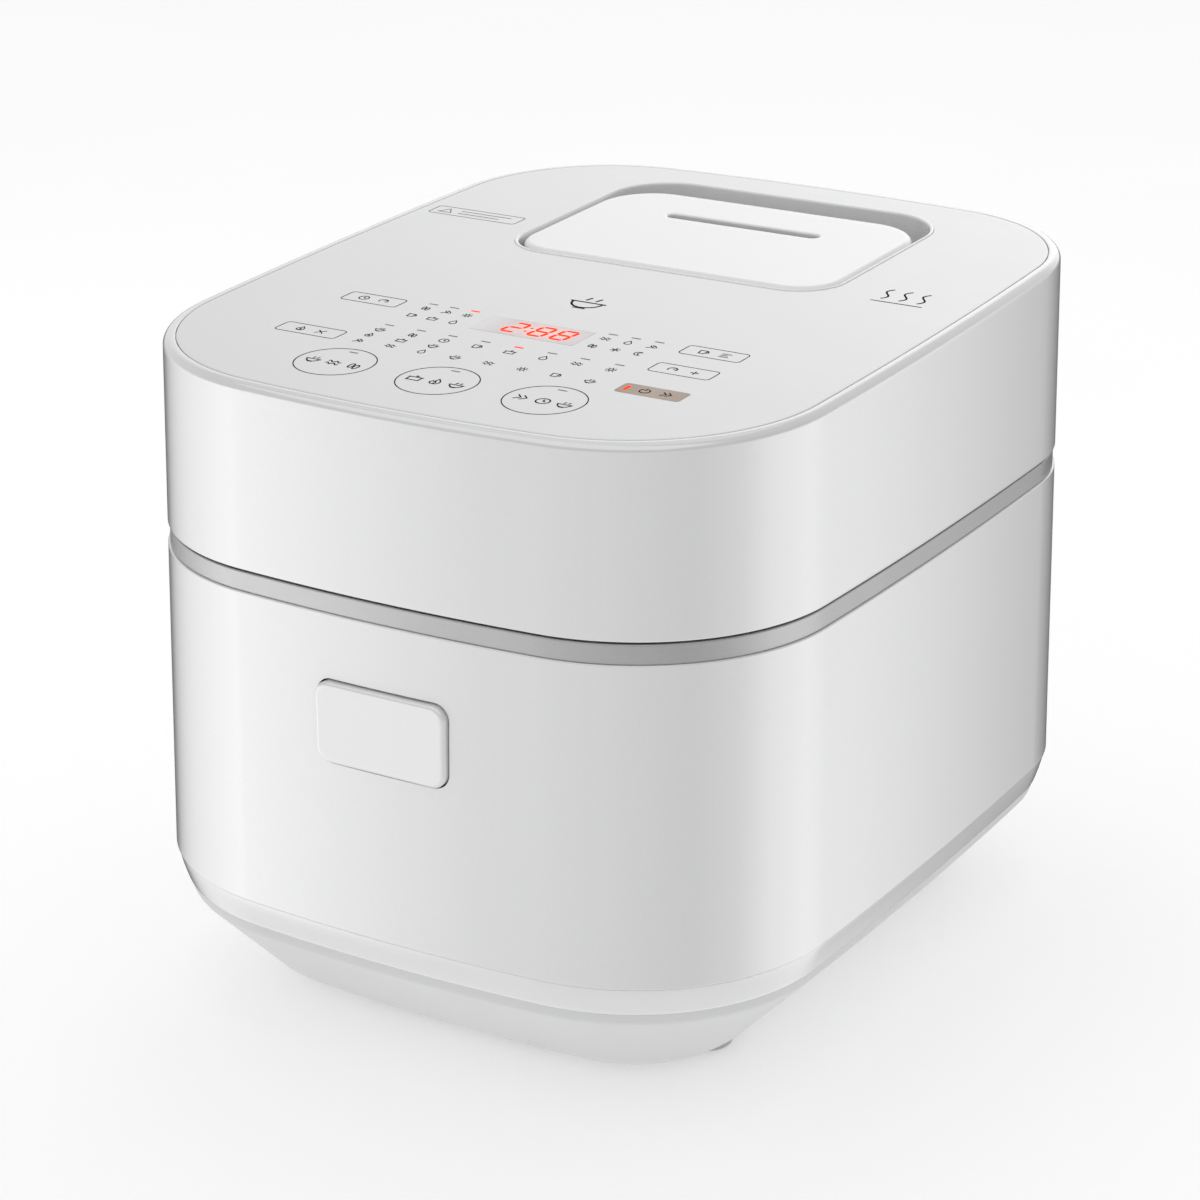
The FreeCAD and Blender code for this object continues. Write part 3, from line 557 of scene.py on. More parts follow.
M_PARTS = satin("component_cases", (0.03, 0.03, 0.045), 0.4, 1200.0, 0.15, 0.4)
M_POT = coating("speckled_coating")
M_TRAY = gloss("valve_tray_white", (0.60, 0.605, 0.61), 0.35, 0.5, 0.1)
M_CABINET = gloss("display_lens", (0.30, 0.30, 0.31), 0.25, 1.0, 0.05)


def ink(name, col):
    m = Mat(name, rough=0.85, ior=1.05, spec=0.1)
    g = m.noise(5000.0, 2.0, 0.6)
    m.color(m.ramp(g, [(0.3, tone(col, 0.85)), (0.7, tone(col, 1.2))]))
    m.rough(m.rng(g, 0.8, 0.95, 0.3, 0.7))
    return m.m


M_INK = ink("print_ink_dark", (0.020, 0.020, 0.022))
M_INK_GREY = ink("print_ink_grey", (0.24, 0.24, 0.245))


def led(name, col, strength):
    m = Mat(name, rough=0.9, ior=1.0, spec=0.05)
    g = m.noise(800.0, 2.0, 0.5)
    c = m.ramp(g, [(0.2, tone(col, 0.85)), (0.8, col)])
    m.color(c)
    m.link(c, m.b.inputs["Emission Color"])
    m.b.inputs["Emission Strength"].default_value = strength
    return m.m


M_LED = led("led_red", (1.0, 0.030, 0.005), 2.0)


def window_material():
    """Grey light-diffusing window, with a painted glow round the digits, drawn as red emission on the window itself."""
    m = Mat("display_window", rough=0.30, coat=1.0, coat_rough=0.06)
    o = m.xyz()
    gx = m.rng(o[0], 0.0, 1.0, -0.021, 0.004)
    m.color(m.ramp(gx, [(0.0, (0.60, 0.605, 0.61)), (0.35, (0.42, 0.42, 0.43)), (1.0, (0.47, 0.46, 0.46))]))
    # painted glow: red emission on the window, strongest at the digits' centre and fading outwards
    dx = m.math("DIVIDE", m.math("SUBTRACT", o[0], 0.0016), 0.0165)
    dy = m.math("DIVIDE", m.math("SUBTRACT", o[1], (YC - 61.3) * MM), 0.0082)
    d = m.math("ADD", m.math("MULTIPLY", dx, dx), m.math("MULTIPLY", dy, dy))
    glow = m.math("EXPONENT", m.math("MULTIPLY", d, -1.25))
    painted_glow = m.math("MULTIPLY", glow, m.rng(m.noise(420.0, 2.0, 0.5), 0.85, 1.1, 0.3, 0.7))
    c = m.ramp(painted_glow, [(0.0, (0, 0, 0)), (1.0, (0.62, 0.10, 0.055))])
    m.link(c, m.b.inputs["Emission Color"])
    m.b.inputs["Emission Strength"].default_value = 0.55
    return m.m


M_WINDOW = window_material()


def start_material():
    m = Mat("start_key_bronze", rough=0.40, metal=0.25, coat=0.25, coat_rough=0.1)
    o = m.xyz()
    t = m.rng(o[0], 0.0, 1.0, 0.057, 0.086)
    c = m.ramp(t, [(0.0, (0.26, 0.175, 0.115)), (0.5, (0.38, 0.27, 0.185)), (1.0, (0.30, 0.21, 0.145))])
    m.color(m.mix(1.0, c, m.ramp(m.noise(3000.0, 2.0), [(0.3, (0.9, 0.9, 0.9)), (0.7, (1, 1, 1))]), "MULTIPLY"))
    m.rough(m.rng(m.noise(900.0, 3.0), 0.28, 0.4, 0.3, 0.7))
    return m.m


M_START = start_material()

# --------------------------------------------------------- carried-over nodes
CARRY = {
    "base_screws": M_SCREW, "side_heater": M_FOIL, "induction_coil": M_COIL, "coil_carrier": M_BLACK,
    "ferrite_bars": M_FERRITE, "pot_sensor": M_STEEL, "sensor_guide": M_BLACK, "sensor_spring": M_SPRING,
    "fan_frame": M_BLACK, "fan_rotor": M_BLACK, "main_board": M_PCB, "heat_sink": M_FOIL, "board_components": M_PARTS,
    "rear_housing": M_REAR, "power_inlet": M_BLACK, "inlet_pins": M_BRASS, "hinge_bracket": M_REAR, "hinge_pin": M_PIN,
    "hinge_spring": M_SPRING, "latch_bracket": M_BLACK, "latch_pin": M_PIN, "latch_lever": M_REAR,
    "button_spring": M_SPRING, "spring_seat": M_REAR, "lid_heater_plate": M_ALU, "lid_sensor": M_STEEL,
    "display_board": M_PCB, "led_display": M_CABINET, "touch_springs": M_SPRING, "lid_striker": M_SCREW,
    "hinge_arms": M_REAR, "valve_body": M_TRAY, "valve_gasket": M_SIL, "top_deck": M_DECK, "heating_well": M_ALU,
    "inner_pot": M_POT, "lid_liner": M_LINER, "lid_screws": M_SCREW, "inner_lid": M_LIDSTEEL,
    "inner_lid_knob": M_SIL, "lid_gasket": M_SIL, "vent_tube": M_SIL, "rubber_feet": M_RUBBER,
    "base_tray": M_BASE, "trim_band": M_TRIM, "outer_shell": M_SHELL, "silver_trim_ring": M_SILVER,
    "release_button": M_BUTTON, "lid_cover": M_LID, "control_panel": M_PANEL, "valve_pocket": M_POCKET,
    "valve_cap": M_CAP,
}
for name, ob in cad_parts.items():
    m = CARRY[name]
    if ob.material_slots:
        for s in ob.material_slots:
            s.material = m
    else:
        ob.data.materials.append(m)

# ---------------------------------------------------------------- outer shell
zt, zs = Z_TRIM, Z_SHELL
prof = arc_pts(-0.6, zt + 0.6, 0.6, -90, 0, 5, "a") + [(0, "a", zt + 1.4)]
prof += [(0, "a", zt + 1.4 + (zs - zt - 2.8) * k / 14) for k in range(1, 14)]
prof += [(0, "a", zs - 1.2)] + arc_pts(-0.5, zs - 0.5, 0.5, 0, 90, 4, "a") + [(1.0, "a", zs), (2.5, "a", zs), (2.5, "a", zt)]
b = Builder()
b.skin([body_ring(*p) for p in prof], True)
shell = b.done("shell_wall", M_SHELL, "body", "shell_white", "outer_shell")


def xz_rings(loop, insets):
    """Rings of an XZ loop: [(inset, y)]."""
    return [[Vector(((x - nx * d) * MM, y * MM, (z - nz * d) * MM)) for x, z, nx, nz in loop] for d, y in insets]


zc = (BTN_Z0 + BTN_Z1) / 2
hole = rr_loop(-BTN_X - 0.6, BTN_X + 0.6, BTN_Z0 - 0.6, BTN_Z1 + 0.6, 6.4, n=16)
cb = Builder()
rv = cb.skin(xz_rings(hole, [(0, -190.0), (0, -165.0)]))
cb.cap([rv[0]])
cb.cap([rv[1]])
bmesh.ops.recalc_face_normals(cb.bm, faces=cb.bm.faces[:])
cut_me = bpy.data.meshes.new("cutter")
cb.bm.to_mesh(cut_me)
cb.bm.free()
cutter = bpy.data.objects.new("cutter", cut_me)
bpy.context.scene.collection.objects.link(cutter)
mod = shell.modifiers.new("hole", "BOOLEAN")
mod.operation = "DIFFERENCE"
mod.solver = "EXACT"
mod.object = cutter
bpy.context.view_layer.update()
cut = bpy.data.meshes.new_from_object(shell.evaluated_get(bpy.context.evaluated_depsgraph_get()))
shell.modifiers.clear()
shell.data = cut
bpy.data.objects.remove(cutter)
bpy.data.meshes.remove(cut_me)


def arc_normal(x, y):
    """Outward plan normal of the body's wall at (x, y), in mm from the outline's centre."""
    ax, ay = abs(x), y
    if ay < 0:
        c, re, b0 = (CF[0], -CF[1]), R_FRONT, R_FRONT - HALF_D
        end = (0.0, b0)
    else:
        c, end = CR, (0.0, HALF_D - R_REAR)
    side = (HALF_W - R_SIDE, 0.0)

    def cross(o, q):
        return (c[0] - o[0]) * (q[1] - o[1]) - (c[1] - o[1]) * (q[0] - o[0])

    s = cross(side, (ax, ay))
    e = cross(end, (ax, ay))
    if ay < 0:
        inside_side, inside_end = s > 0, e < 0
    else:
        inside_side, inside_end = s < 0, e > 0
    o = side if inside_side else (end if inside_end else c)
    nx, ny = ax - o[0], ay - o[1]
    n = math.hypot(nx, ny)
    return (math.copysign(nx / n, x) if x else nx / n, ny / n)


def true_normals(ob):
    """Gives the outward faces of the drafted wall their exact normals, which the cut has disturbed."""
    me = ob.data
    normals = [Vector(c.vector) for c in me.corner_normals]
    for p in me.polygons:
        c = p.center
        nx, ny = arc_normal(c.x / MM, c.y / MM - YC)
        w = Vector((nx, ny, DRAFT)).normalized()
        if p.normal.dot(w) > 0.9985:
            for li in p.loop_indices:
                v = me.vertices[me.loops[li].vertex_index].co
                ax, ay = arc_normal(v.x / MM, v.y / MM - YC)
                normals[li] = Vector((ax, ay, DRAFT)).normalized()
    me.normals_split_custom_set([tuple(n) for n in normals])


for p in shell.data.polygons:
    p.use_smooth = True
true_normals(shell)

# ---------------------------------------------------------------- silver ring
z0, z1 = Z_SHELL, Z_RING
prof = arc_pts(-1.1, z0 + 0.3, 0.3, -90, 0, 3, "a") + [(0.8, "a", z0 + 0.8), (0.8, "a", (z0 + z1) / 2), (0.8, "a", z1 - 1.0)]
prof += arc_pts(-1.3, z1 - 0.5, 0.5, 0, 90, 4, "a") + [(1.8, "a", z1), (3.4, "a", z1), (3.4, "a", z0)]
b = Builder()
b.skin([body_ring(*p) for p in prof], True)
b.done("silver_ring", M_SILVER, "body", "silver_trim", "silver_trim_ring")

# ----------------------------------------------------------------- trim band
pts = [(-0.6, Z_TRIM), (-1.15, 50.6), (-2.3, 46.4), (-3.9, Z_BASE)]
prof = [(0.95, "a", Z_TRIM), (0.62, "a", Z_TRIM - 0.25)]
for i in range(11):
    t = i / 10
    z = Z_TRIM - 0.9 + (Z_BASE + 0.8 - Z_TRIM + 0.9) * t
    d = 0.6 + 3.3 * ((Z_TRIM - z) / (Z_TRIM - Z_BASE)) ** 1.35
    prof.append((d, "a", z))
prof += [(3.95, "a", Z_BASE + 0.25), (4.3, "a", Z_BASE), (7.1, "a", Z_BASE), (3.8, "a", Z_TRIM)]
b = Builder()
b.skin([body_ring(*p) for p in prof], True)
b.done("lower_trim", M_TRIM, "body", "shell_white", "trim_band")

# ----------------------------------------------------------------- base tray
outer = round_profile([(-7.1, 42.6), (-4.6, 42.6), (-5.5, 38.2), (-36.0, 7.2), (-41.6, 3.0), (-46.0, 3.0)],
                      [0, 0.35, 5.0, 9.0, 9.0, 0], 9)
inner = round_profile([(-46.0, 6.0), (-40.6, 6.0), (-38.8, 7.2), (-8.0, 38.2), (-7.1, 42.6)], [0, 0, 0, 3.0, 0], 4)
long = []
for q in outer:
    if long and abs(q[1] - long[-1][1]) > 8:
        p0 = long[-1]
        for k in range(1, 6):
            long.append((p0[0] + (q[0] - p0[0]) * k / 6, p0[1] + (q[1] - p0[1]) * k / 6))
    long.append(q)
b = Builder()
rv = b.skin([body_ring(-u, "a", z) for u, z in long])
iv = b.skin([body_ring(-u, "a", z) for u, z in inner])
b.bm.verts.ensure_lookup_table()
b.strip(iv[-1], rv[0])
FAN = (-40.0, 74.0)
POSTS = [(sx * 65.5, PY + sy * 45.9) for sx in (-1, 1) for sy in (-1, 1)]
FEET = [(sx * 85.0, YC + sy * 82.0) for sx in (-1, 1) for sy in (-1, 1)]
holes = [circle_loop(x, y, 3.4, 32) for x, y in POSTS]
for i in range(-4, 5):
    half = math.sqrt(31.0 ** 2 - (i * 6.8) ** 2)
    holes.append(rr_loop(FAN[0] + i * 6.8 - 1.6, FAN[0] + i * 6.8 + 1.6, FAN[1] - half, FAN[1] + half, 1.55, n=6, ns=1))
for i in range(-4, 5):
    holes.append(rr_loop(i * 9 - 1.6, i * 9 + 1.6, YC - 118, YC - 88, 1.55, n=6, ns=1))
low, high = [], []
for h in holes:
    a = b.ring(flat_ring(h, -0.5, "a", 3.0))
    m1 = b.ring(flat_ring(h, -0.15, "a", 3.15))
    m2 = b.ring(flat_ring(h, 0.0, "a", 3.5))
    z = b.ring(flat_ring(h, 0.0, "a", 6.0))
    b.strip(a, m1), b.strip(m1, m2), b.strip(m2, z)
    low.append(a)
    high.append(z)
b.cap([rv[-1]] + low)
b.cap([iv[0]] + high)
b.done("base_pan", M_BASE, "body", "base_white", "base_tray")

# ----------------------------------------------------------------- rubber feet
b = Builder()
for x, y in FEET:
    lp = circle_loop(x, y, 10.5, 72)
    prof = [(10.3, 3.0), (0.25, 3.0), (0.0, 2.8), (0.0, 1.0), (0.12, 0.6), (0.35, 0.28), (0.7, 0.08), (1.1, 0.0),
            (2.2, 0.0), (2.5, 0.3), (3.4, 0.3), (3.7, 0.0), (8.4, 0.0)]
    rr = b.skin([flat_ring(lp, d, "a", z) for d, z in prof])
    b.cap([rr[0]])
    b.cap([rr[-1]])
b.done("foot_pads", M_RUBBER, "body", "rubber_grey", "rubber_feet")

# -------------------------------------------------------------- release button
loop = rr_loop(-BTN_X, BTN_X, BTN_Z0, BTN_Z1, 5.8, n=20, ns=10)
rings = [(2.0, -169.0), (0.2, -169.0), (0.0, -169.3), (0.0, -176.0)]
rings += [(1.5 - 1.5 * math.cos(math.radians(a)), -176.5 - 1.5 * math.sin(math.radians(a))) for a in range(0, 91, 9)]
rings += [(1.9, -178.0), (2.6, -178.0)]
b = Builder()
rv = b.skin(xz_rings(loop, rings))
b.cap([rv[-1]])
inner_rv = b.skin(xz_rings(loop, [(2.0, -169.0), (2.0, -175.6)]))
b.cap([inner_rv[1]])
bmesh.ops.remove_doubles(b.bm, verts=b.bm.verts[:], dist=1e-6)
stem = [Vector((3.0 * math.cos(t) * MM, 0, (zc + 3.0 * math.sin(t)) * MM)) for t in [2 * math.pi * i / 40 for i in range(40)]]
sv = b.skin([[Vector((v.x, y * MM, v.z)) for v in stem] for y in (-175.6, -161.5)])
b.cap([sv[0]])
b.cap([sv[1]])
b.done("front_button", M_BUTTON, "button", "shell_white", "release_button")

# ------------------------------------------------------------------ lid cover
zl = Z_LID
prof = arc_pts(-0.7, zl + 0.7, 0.7, -90, 0, 6, "a") + [(0, "a", zl + 1.6)]
prof += [(0, "a", zl + 1.6 + 56.0 * k / 8) for k in range(1, 8)]
prof += [(0, "p", -9.0), (0, "p", -4.2)] + arc_pts(-3.0, -3.0, 3.0, 0, 90, 14, "p")
prof += [(3.5, "p", 0), (4.0, "p", 0)] + arc_pts(-4.25, -0.35, 0.35, 90, 180, 4, "p")[1:]
prof += [(4.6, "p", -1.0), (4.6, "p", -1.6), (16.0, "p", -1.6), (16.0, "p", -3.2), (2.5, "p", -3.2), (2.5, "a", zl)]
b = Builder()
b.skin([body_ring(*p) for p in prof], True)
b.done("lid_shell", M_LID, "lid", "shell_white", "lid_cover")

# --------------------------------------------------------------- control panel
pk = rr_loop(-PK_X, PK_X, YC + PK_Y0, YC + PK_Y1, PK_RF, PK_RB, n=28, ns=10)
prof = [(4.9, "p", -1.5), (4.9, "p", -0.35), (4.95, "p", -0.15), (5.07, "p", -0.03), (5.25, "p", 0.0), (6.2, "p", 0.0)]
b = Builder()
rv = b.skin([body_ring(*p) for p in prof])
iv = b.skin([flat_ring(pk, d, "p", z) for d, z in [(-1.0, 0.0), (-0.12, 0.0), (0.0, -0.12), (0.0, -1.5)]])
b.cap([rv[-1], iv[0]])
b.cap([rv[0], iv[-1]])
b.done("panel_film", M_PANEL, "lid", "panel_white", "control_panel")

# ---------------------------------------------------------------- valve pocket
pkb = rr_loop(-PK_X + 0.05, PK_X - 0.05, YC + PK_Y0 + 0.05, YC + PK_Y1 - 0.05, PK_RF, PK_RB, n=28, ns=10)
b = Builder()
top = [(0.0, "p", -1.4), (0.0, "p", -0.05), (0.05, "p", 0.14), (0.2, "p", 0.28), (0.45, "p", 0.35), (0.8, "p", 0.35),
       (1.15, "p", 0.26), (1.42, "p", 0.02), (1.56, "p", -0.35), (1.6, "p", -0.8), (1.6, "p", -1.6), (1.6, "a", 250.0),
       (1.6, "a", 240.0)]
wall = [(1.6, "a", 232.0)] + [(1.6 + 5.0 * (1 - math.cos(math.radians(a))), "a", 232.0 - 5.0 * math.sin(math.radians(a))) for a in range(15, 91, 15)]
rv = b.skin([flat_ring(pkb, d, k, z) for d, k, z in top + wall + [(7.4, "a", 227.0)]])
ov = b.skin([flat_ring(pkb, 0.0, k, z) for k, z in [("p", -1.4), ("a", 244.0), ("a", 225.0)]])
vent_in = b.ring([Vector((11.0 * math.cos(2 * math.pi * i / 64) * MM, (VENT_Y + 11.0 * math.sin(2 * math.pi * i / 64)) * MM, 227.0 * MM)) for i in range(64)])
vent_out = b.ring([v.co - Vector((0, 0, 2.0 * MM)) for v in vent_in])
b.strip(vent_in, vent_out)
b.cap([rv[-1], vent_in])
b.cap([ov[-1], vent_out])
bmesh.ops.remove_doubles(b.bm, verts=b.bm.verts[:], dist=1e-6)
b.done("pocket_liner", M_POCKET, "lid", "shell_white", "valve_pocket")

# ------------------------------------------------------------------ valve cap
cl = rr_loop(-CAP_X, CAP_X, YC + CAP_Y0, YC + CAP_Y1, 18.5, 24.0, n=26, ns=12)
sl = rr_loop(-34.0, 34.0, YC + 91.6, YC + 97.2, 2.75, n=12, ns=8)
b = Builder()
side = [(2.0, "a", 245.0), (0.25, "a", 245.0), (0.0, "a", 245.3), (0.0, "a", 248.0), (0.0, "p", -4.0)]
side += [(2.6 * (1 - math.cos(math.radians(a))), "p", -2.6 + 2.6 * math.sin(math.radians(a))) for a in range(0, 91, 9)]
side += [(3.2, "p", 0.0), (4.4, "p", 0.0)]
rv = b.skin([flat_ring(cl, d, k, z) for d, k, z in side])
uv = b.skin([flat_ring(cl, d, k, z) for d, k, z in [(2.0, "a", 245.0), (2.0, "p", -2.4)]])
sv = b.skin([flat_ring(sl, d, "p", z) for d, z in [(-1.3, 0.0), (-0.7, -0.02), (-0.35, -0.12), (-0.1, -0.38), (0.0, -0.75), (0.0, -2.4)]])
b.cap([rv[-1], sv[0]])
b.cap([uv[-1], sv[-1]])
bmesh.ops.remove_doubles(b.bm, verts=b.bm.verts[:], dist=1e-6)
b.done("steam_cap", M_CAP, "steam_valve", "cap_white", "valve_cap")

# ------------------------------------------------------------ panel graphics
INK_LOW, INK_HIGH = 0.006, 0.05


def on_panel(x, y, off):
    """A point of the panel, y from the body's centre."""
    return Vector((x * MM, (y + YC) * MM, panel_z(y + YC, off) * MM))


def ribbon(bm, pts, w, closed=False, lo=INK_LOW, hi=INK_HIGH):
    """A line of constant width as a thin closed solid on the panel."""
    n = len(pts)
    rings = []
    for i in range(n):
        p = Vector(pts[i])
        a = Vector(pts[i - 1]) if (closed or i > 0) else p
        c = Vector(pts[(i + 1) % n]) if (closed or i < n - 1) else p
        d1, d2 = (p - a), (c - p)
        d1 = d1.normalized() if d1.length > 1e-9 else None
        d2 = d2.normalized() if d2.length > 1e-9 else None
        if d1 is None:
            d1 = d2
        if d2 is None:
            d2 = d1
        t = (d1 + d2)
        t = t.normalized() if t.length > 1e-6 else d1
        nrm = Vector((-t.y, t.x))
        k = 1.0 / max(0.5, abs(nrm.dot(Vector((-d1.y, d1.x)))))
        h = nrm * (w / 2 * k)
        rings.append([bm.verts.new(on_panel(p.x + h.x, p.y + h.y, hi)), bm.verts.new(on_panel(p.x - h.x, p.y - h.y, hi)),
                      bm.verts.new(on_panel(p.x - h.x, p.y - h.y, lo)), bm.verts.new(on_panel(p.x + h.x, p.y + h.y, lo))])
    m = n if closed else n - 1
    for i in range(m):
        a, c = rings[i], rings[(i + 1) % n]
        for k in range(4):
            q = (k + 1) % 4
            bm.faces.new((a[k], c[k], c[q], a[q]))
    if not closed:
        bm.faces.new(rings[0])
        bm.faces.new(rings[-1][::-1])


def blob(bm, pts, lo=INK_LOW, hi=INK_HIGH):
    """A filled flat shape as a thin closed solid on the panel."""
    top = [bm.verts.new(on_panel(x, y, hi)) for x, y in pts]
    bot = [bm.verts.new(on_panel(x, y, lo)) for x, y in pts]
    bm.faces.new(top)
    bm.faces.new(bot[::-1])
    n = len(pts)
    for i in range(n):
        j = (i + 1) % n
        bm.faces.new((top[i], bot[i], bot[j], top[j]))


def arcp(cx, cy, r, a0, a1, n=12, ry=None):
    ry = r if ry is None else ry
    return [(cx + r * math.cos(math.radians(a0 + (a1 - a0) * i / n)), cy + ry * math.sin(math.radians(a0 + (a1 - a0) * i / n))) for i in range(n + 1)]


ICONS = {
    "bowl": [arcp(0, 0.1, 0.95, 180, 360, 14), [(-1.15, 0.12), (1.15, 0.12)], [(-0.4, -0.98), (0.4, -0.98)], [(-0.35, 0.45), (-0.2, 0.95)], [(0.3, 0.45), (0.45, 0.95)]],
    "flame": [[(0, 1.05), (0.62, 0.2), (0.7, -0.35), (0.4, -0.85), (-0.4, -0.85), (-0.72, -0.35), (-0.45, 0.2), (-0.2, 0.0), (0, 1.05)], [(0, -0.75), (0.18, -0.3), (0.0, 0.1)]],
    "clock": [arcp(0, 0, 0.95, 0, 360, 22), [(0, 0.55), (0, 0), (0.45, -0.2)]],
    "drop": [[(0, 1.05), (0.55, 0.1)] + arcp(0, -0.3, 0.68, 20, -200, 14) + [(-0.55, 0.1), (0, 1.05)]],
    "leaf": [arcp(-0.2, -0.6, 1.3, 5, 85, 9), arcp(1.0, 0.7, 1.3, 185, 265, 9), [(-0.7, -1.0), (0.6, 0.3)]],
    "wave": [[(x / 6.0 - 1.0, 0.42 + 0.28 * math.sin(x * 1.05)) for x in range(13)], [(x / 6.0 - 1.0, -0.42 + 0.28 * math.sin(x * 1.05)) for x in range(13)]],
    "sun": [arcp(0, 0, 0.45, 0, 360, 14)] + [[(0.7 * math.cos(a), 0.7 * math.sin(a)), (1.05 * math.cos(a), 1.05 * math.sin(a))] for a in [math.pi / 4 * k for k in range(8)]],
    "grain": [arcp(-0.35, 0.1, 0.32, 0, 360, 12, 0.8), arcp(0.5, -0.15, 0.32, 0, 360, 12, 0.8)],
    "cross": [[(-0.8, -0.8), (0.8, 0.8)], [(-0.8, 0.8), (0.8, -0.8)]],
    "lines": [[(-0.9, 0.75), (0.9, 0.75)], [(-0.9, 0.0), (0.5, 0.0)], [(-0.9, -0.75), (0.9, -0.75)]],
    "fast": [[(-0.9, 0.8), (-0.1, 0), (-0.9, -0.8)], [(0.0, 0.8), (0.8, 0), (0.0, -0.8)]],
    "pot": [[(-0.9, 0.3), (-0.9, -0.8), (0.9, -0.8), (0.9, 0.3)], [(-1.15, 0.35), (1.15, 0.35)], [(-0.25, 0.8), (0.25, 0.8)], [(0, 0.8), (0, 0.35)]],
    "star": [[(0.0, 1.0), (0.0, -1.0)], [(-0.87, 0.5), (0.87, -0.5)], [(-0.87, -0.5), (0.87, 0.5)]],
    "cup": [[(-0.8, 0.7), (-0.6, -0.8), (0.4, -0.8), (0.6, 0.7), (-0.8, 0.7)], arcp(0.6, 0.0, 0.4, -80, 80, 7)],
    "plus": [[(-0.8, 0), (0.8, 0)], [(0, 0.8), (0, -0.8)]],
    "moon": [arcp(0, 0, 0.9, 60, 300, 14), arcp(0.6, 0, 0.78, 96, 264, 10)],
    "power": [arcp(0, -0.1, 0.8, 120, 420, 18), [(0, 1.0), (0, 0.05)]],
    "dial": [arcp(0, 0, 0.85, -40, 220, 16), [(0, 0), (0.5, 0.5)]],
}


def icon(bm, name, x, y, s, w=0.72, hi=INK_HIGH):
    for st in ICONS[name]:
        pts = [(x + px * s, y + py * s) for px, py in st]
        closed = len(pts) > 3 and math.hypot(pts[0][0] - pts[-1][0], pts[0][1] - pts[-1][1]) < 1e-6
        ribbon(bm, pts[:-1] if closed else pts, w, closed, hi=hi)


def rr_pts(cx, cy, hx, hy, r, n=7):
    out = []
    for sx, sy, a0 in ((1, 1, 0), (-1, 1, 90), (-1, -1, 180), (1, -1, 270)):
        out += arcp(cx + sx * (hx - r), cy + sy * (hy - r), r, a0, a0 + 90, n)
    return out


def graphic(name, bm, material, slot):
    bmesh.ops.recalc_face_normals(bm, faces=bm.faces[:])
    me = bpy.data.meshes.new(name)
    bm.to_mesh(me)
    bm.free()
    return place(name, me, material, "lid", slot)


dark = bmesh.new()
grey = bmesh.new()
redm = bmesh.new()

for cx, cy, ic in ((-44, -125, ("bowl", "wave", "grain")), (-0.3, -125.5, ("pot", "flame", "bowl")), (43.6, -125.5, ("fast", "clock", "bowl"))):
    ribbon(dark, arcp(cx, cy, 14.9, 0, 360, 96)[:-1], 0.42, True)
    for k, nme in enumerate(ic):
        icon(dark, nme, cx - 8.6 + 8.6 * k, cy - 1.2, 2.7, 0.55)
    ribbon(grey, [(cx - 1.8, cy + 11.6), (cx + 1.8, cy + 11.6)], 0.75)

for cx, cy, hx, ic in ((-74, -57, 12.3, ("clock", "dial")), (-73, -99, 13.2, ("flame", "cross")), (70, -54, 12.3, ("cup", "lines")), (70, -76, 12.3, ("dial", "plus"))):
    ribbon(dark, rr_pts(cx, cy, hx, 4.9, 1.7), 0.36, True)
    for k, nme in enumerate(ic):
        icon(dark, nme, cx - 4.4 + 8.8 * k, cy, 2.1, 0.46)

ups = [(-50.6, ("grain", "cup")), (-41.4, ("leaf", "pot")), (-32.2, ("sun", "drop")), (27.0, ("wave", "grain")), (36.6, ("drop", "star")), (46.3, ("leaf", "moon"))]
for x, ic in ups:
    icon(dark, ic[0], x, -57.3, 1.95, 0.42)
    icon(dark, ic[1], x, -66.6, 1.95, 0.42)
    ribbon(redm if x == -32.2 else grey, [(x - 1.9, -51.7), (x + 1.9, -51.7)], 1.0 if x == -32.2 else 0.75)

lows = [(-50.9, ("bowl", "flame", "leaf")), (-36.9, ("grain", "pot", "wave")), (-23.2, ("clock", "bowl", "drop")), (-9.1, ("cup", "", "bowl")),
        (4.9, ("pot", "", "wave")), (19.0, ("drop", "", "sun")), (32.7, ("wave", "", "cup")), (46.8, ("sun", "", "bowl"))]
for x, ic in lows:
    ys = (-86.6, -93.6, -100.8)
    for nme, y in zip(ic, ys):
        if nme:
            icon(dark, nme, x, y, 1.95 if ic[1] else 2.05, 0.42)
    ribbon(redm if x == 4.9 else grey, [(x - 1.9, -80.6), (x + 1.9, -80.6)], 1.0 if x == 4.9 else 0.75)

# plain bowl mark in the middle, a small heat mark at the back right and a plain outlined field at the back left
icon(dark, "bowl", -1.0, -23.5, 6.6, 0.9)
for k in range(3):
    ribbon(dark, [(92 + k * 7.5 + 1.6 * math.sin(t * 0.8), 33.0 + t * 1.5) for t in range(9)], 0.75)
ribbon(dark, [(89.5, 29.8), (110.5, 29.8)], 0.6)
ribbon(grey, rr_pts(-102.5, 58.0, 20.5, 5.0, 1.6), 0.4, True)
ribbon(grey, [(-119.5, 55.8), (-116.6, 60.6), (-113.7, 55.8)], 0.45, True)
for k, (a, c) in enumerate(((-110.5, -87.0), (-110.5, -91.0))):
    ribbon(grey, [(a, 59.6 - k * 3.2), (c, 59.6 - k * 3.2)], 0.5)

# 7-segment digits, slanted
led_bm = bmesh.new()
LED_LO, LED_HI = 0.052, 0.085


def seg(x0, y0, x1, y1, w):
    a, c = Vector((x0, y0)), Vector((x1, y1))
    d = (c - a).normalized()
    n = Vector((-d.y, d.x)) * w / 2
    a, c = a + d * 0.22, c - d * 0.22
    pts = [a, a + d * w / 2 + n, c - d * w / 2 + n, c, c - d * w / 2 - n, a + d * w / 2 - n]
    sh = lambda p: (p.x + 0.13 * (p.y + 61.3), p.y)
    blob(led_bm, [sh(p) for p in pts][::-1], LED_LO, LED_HI)


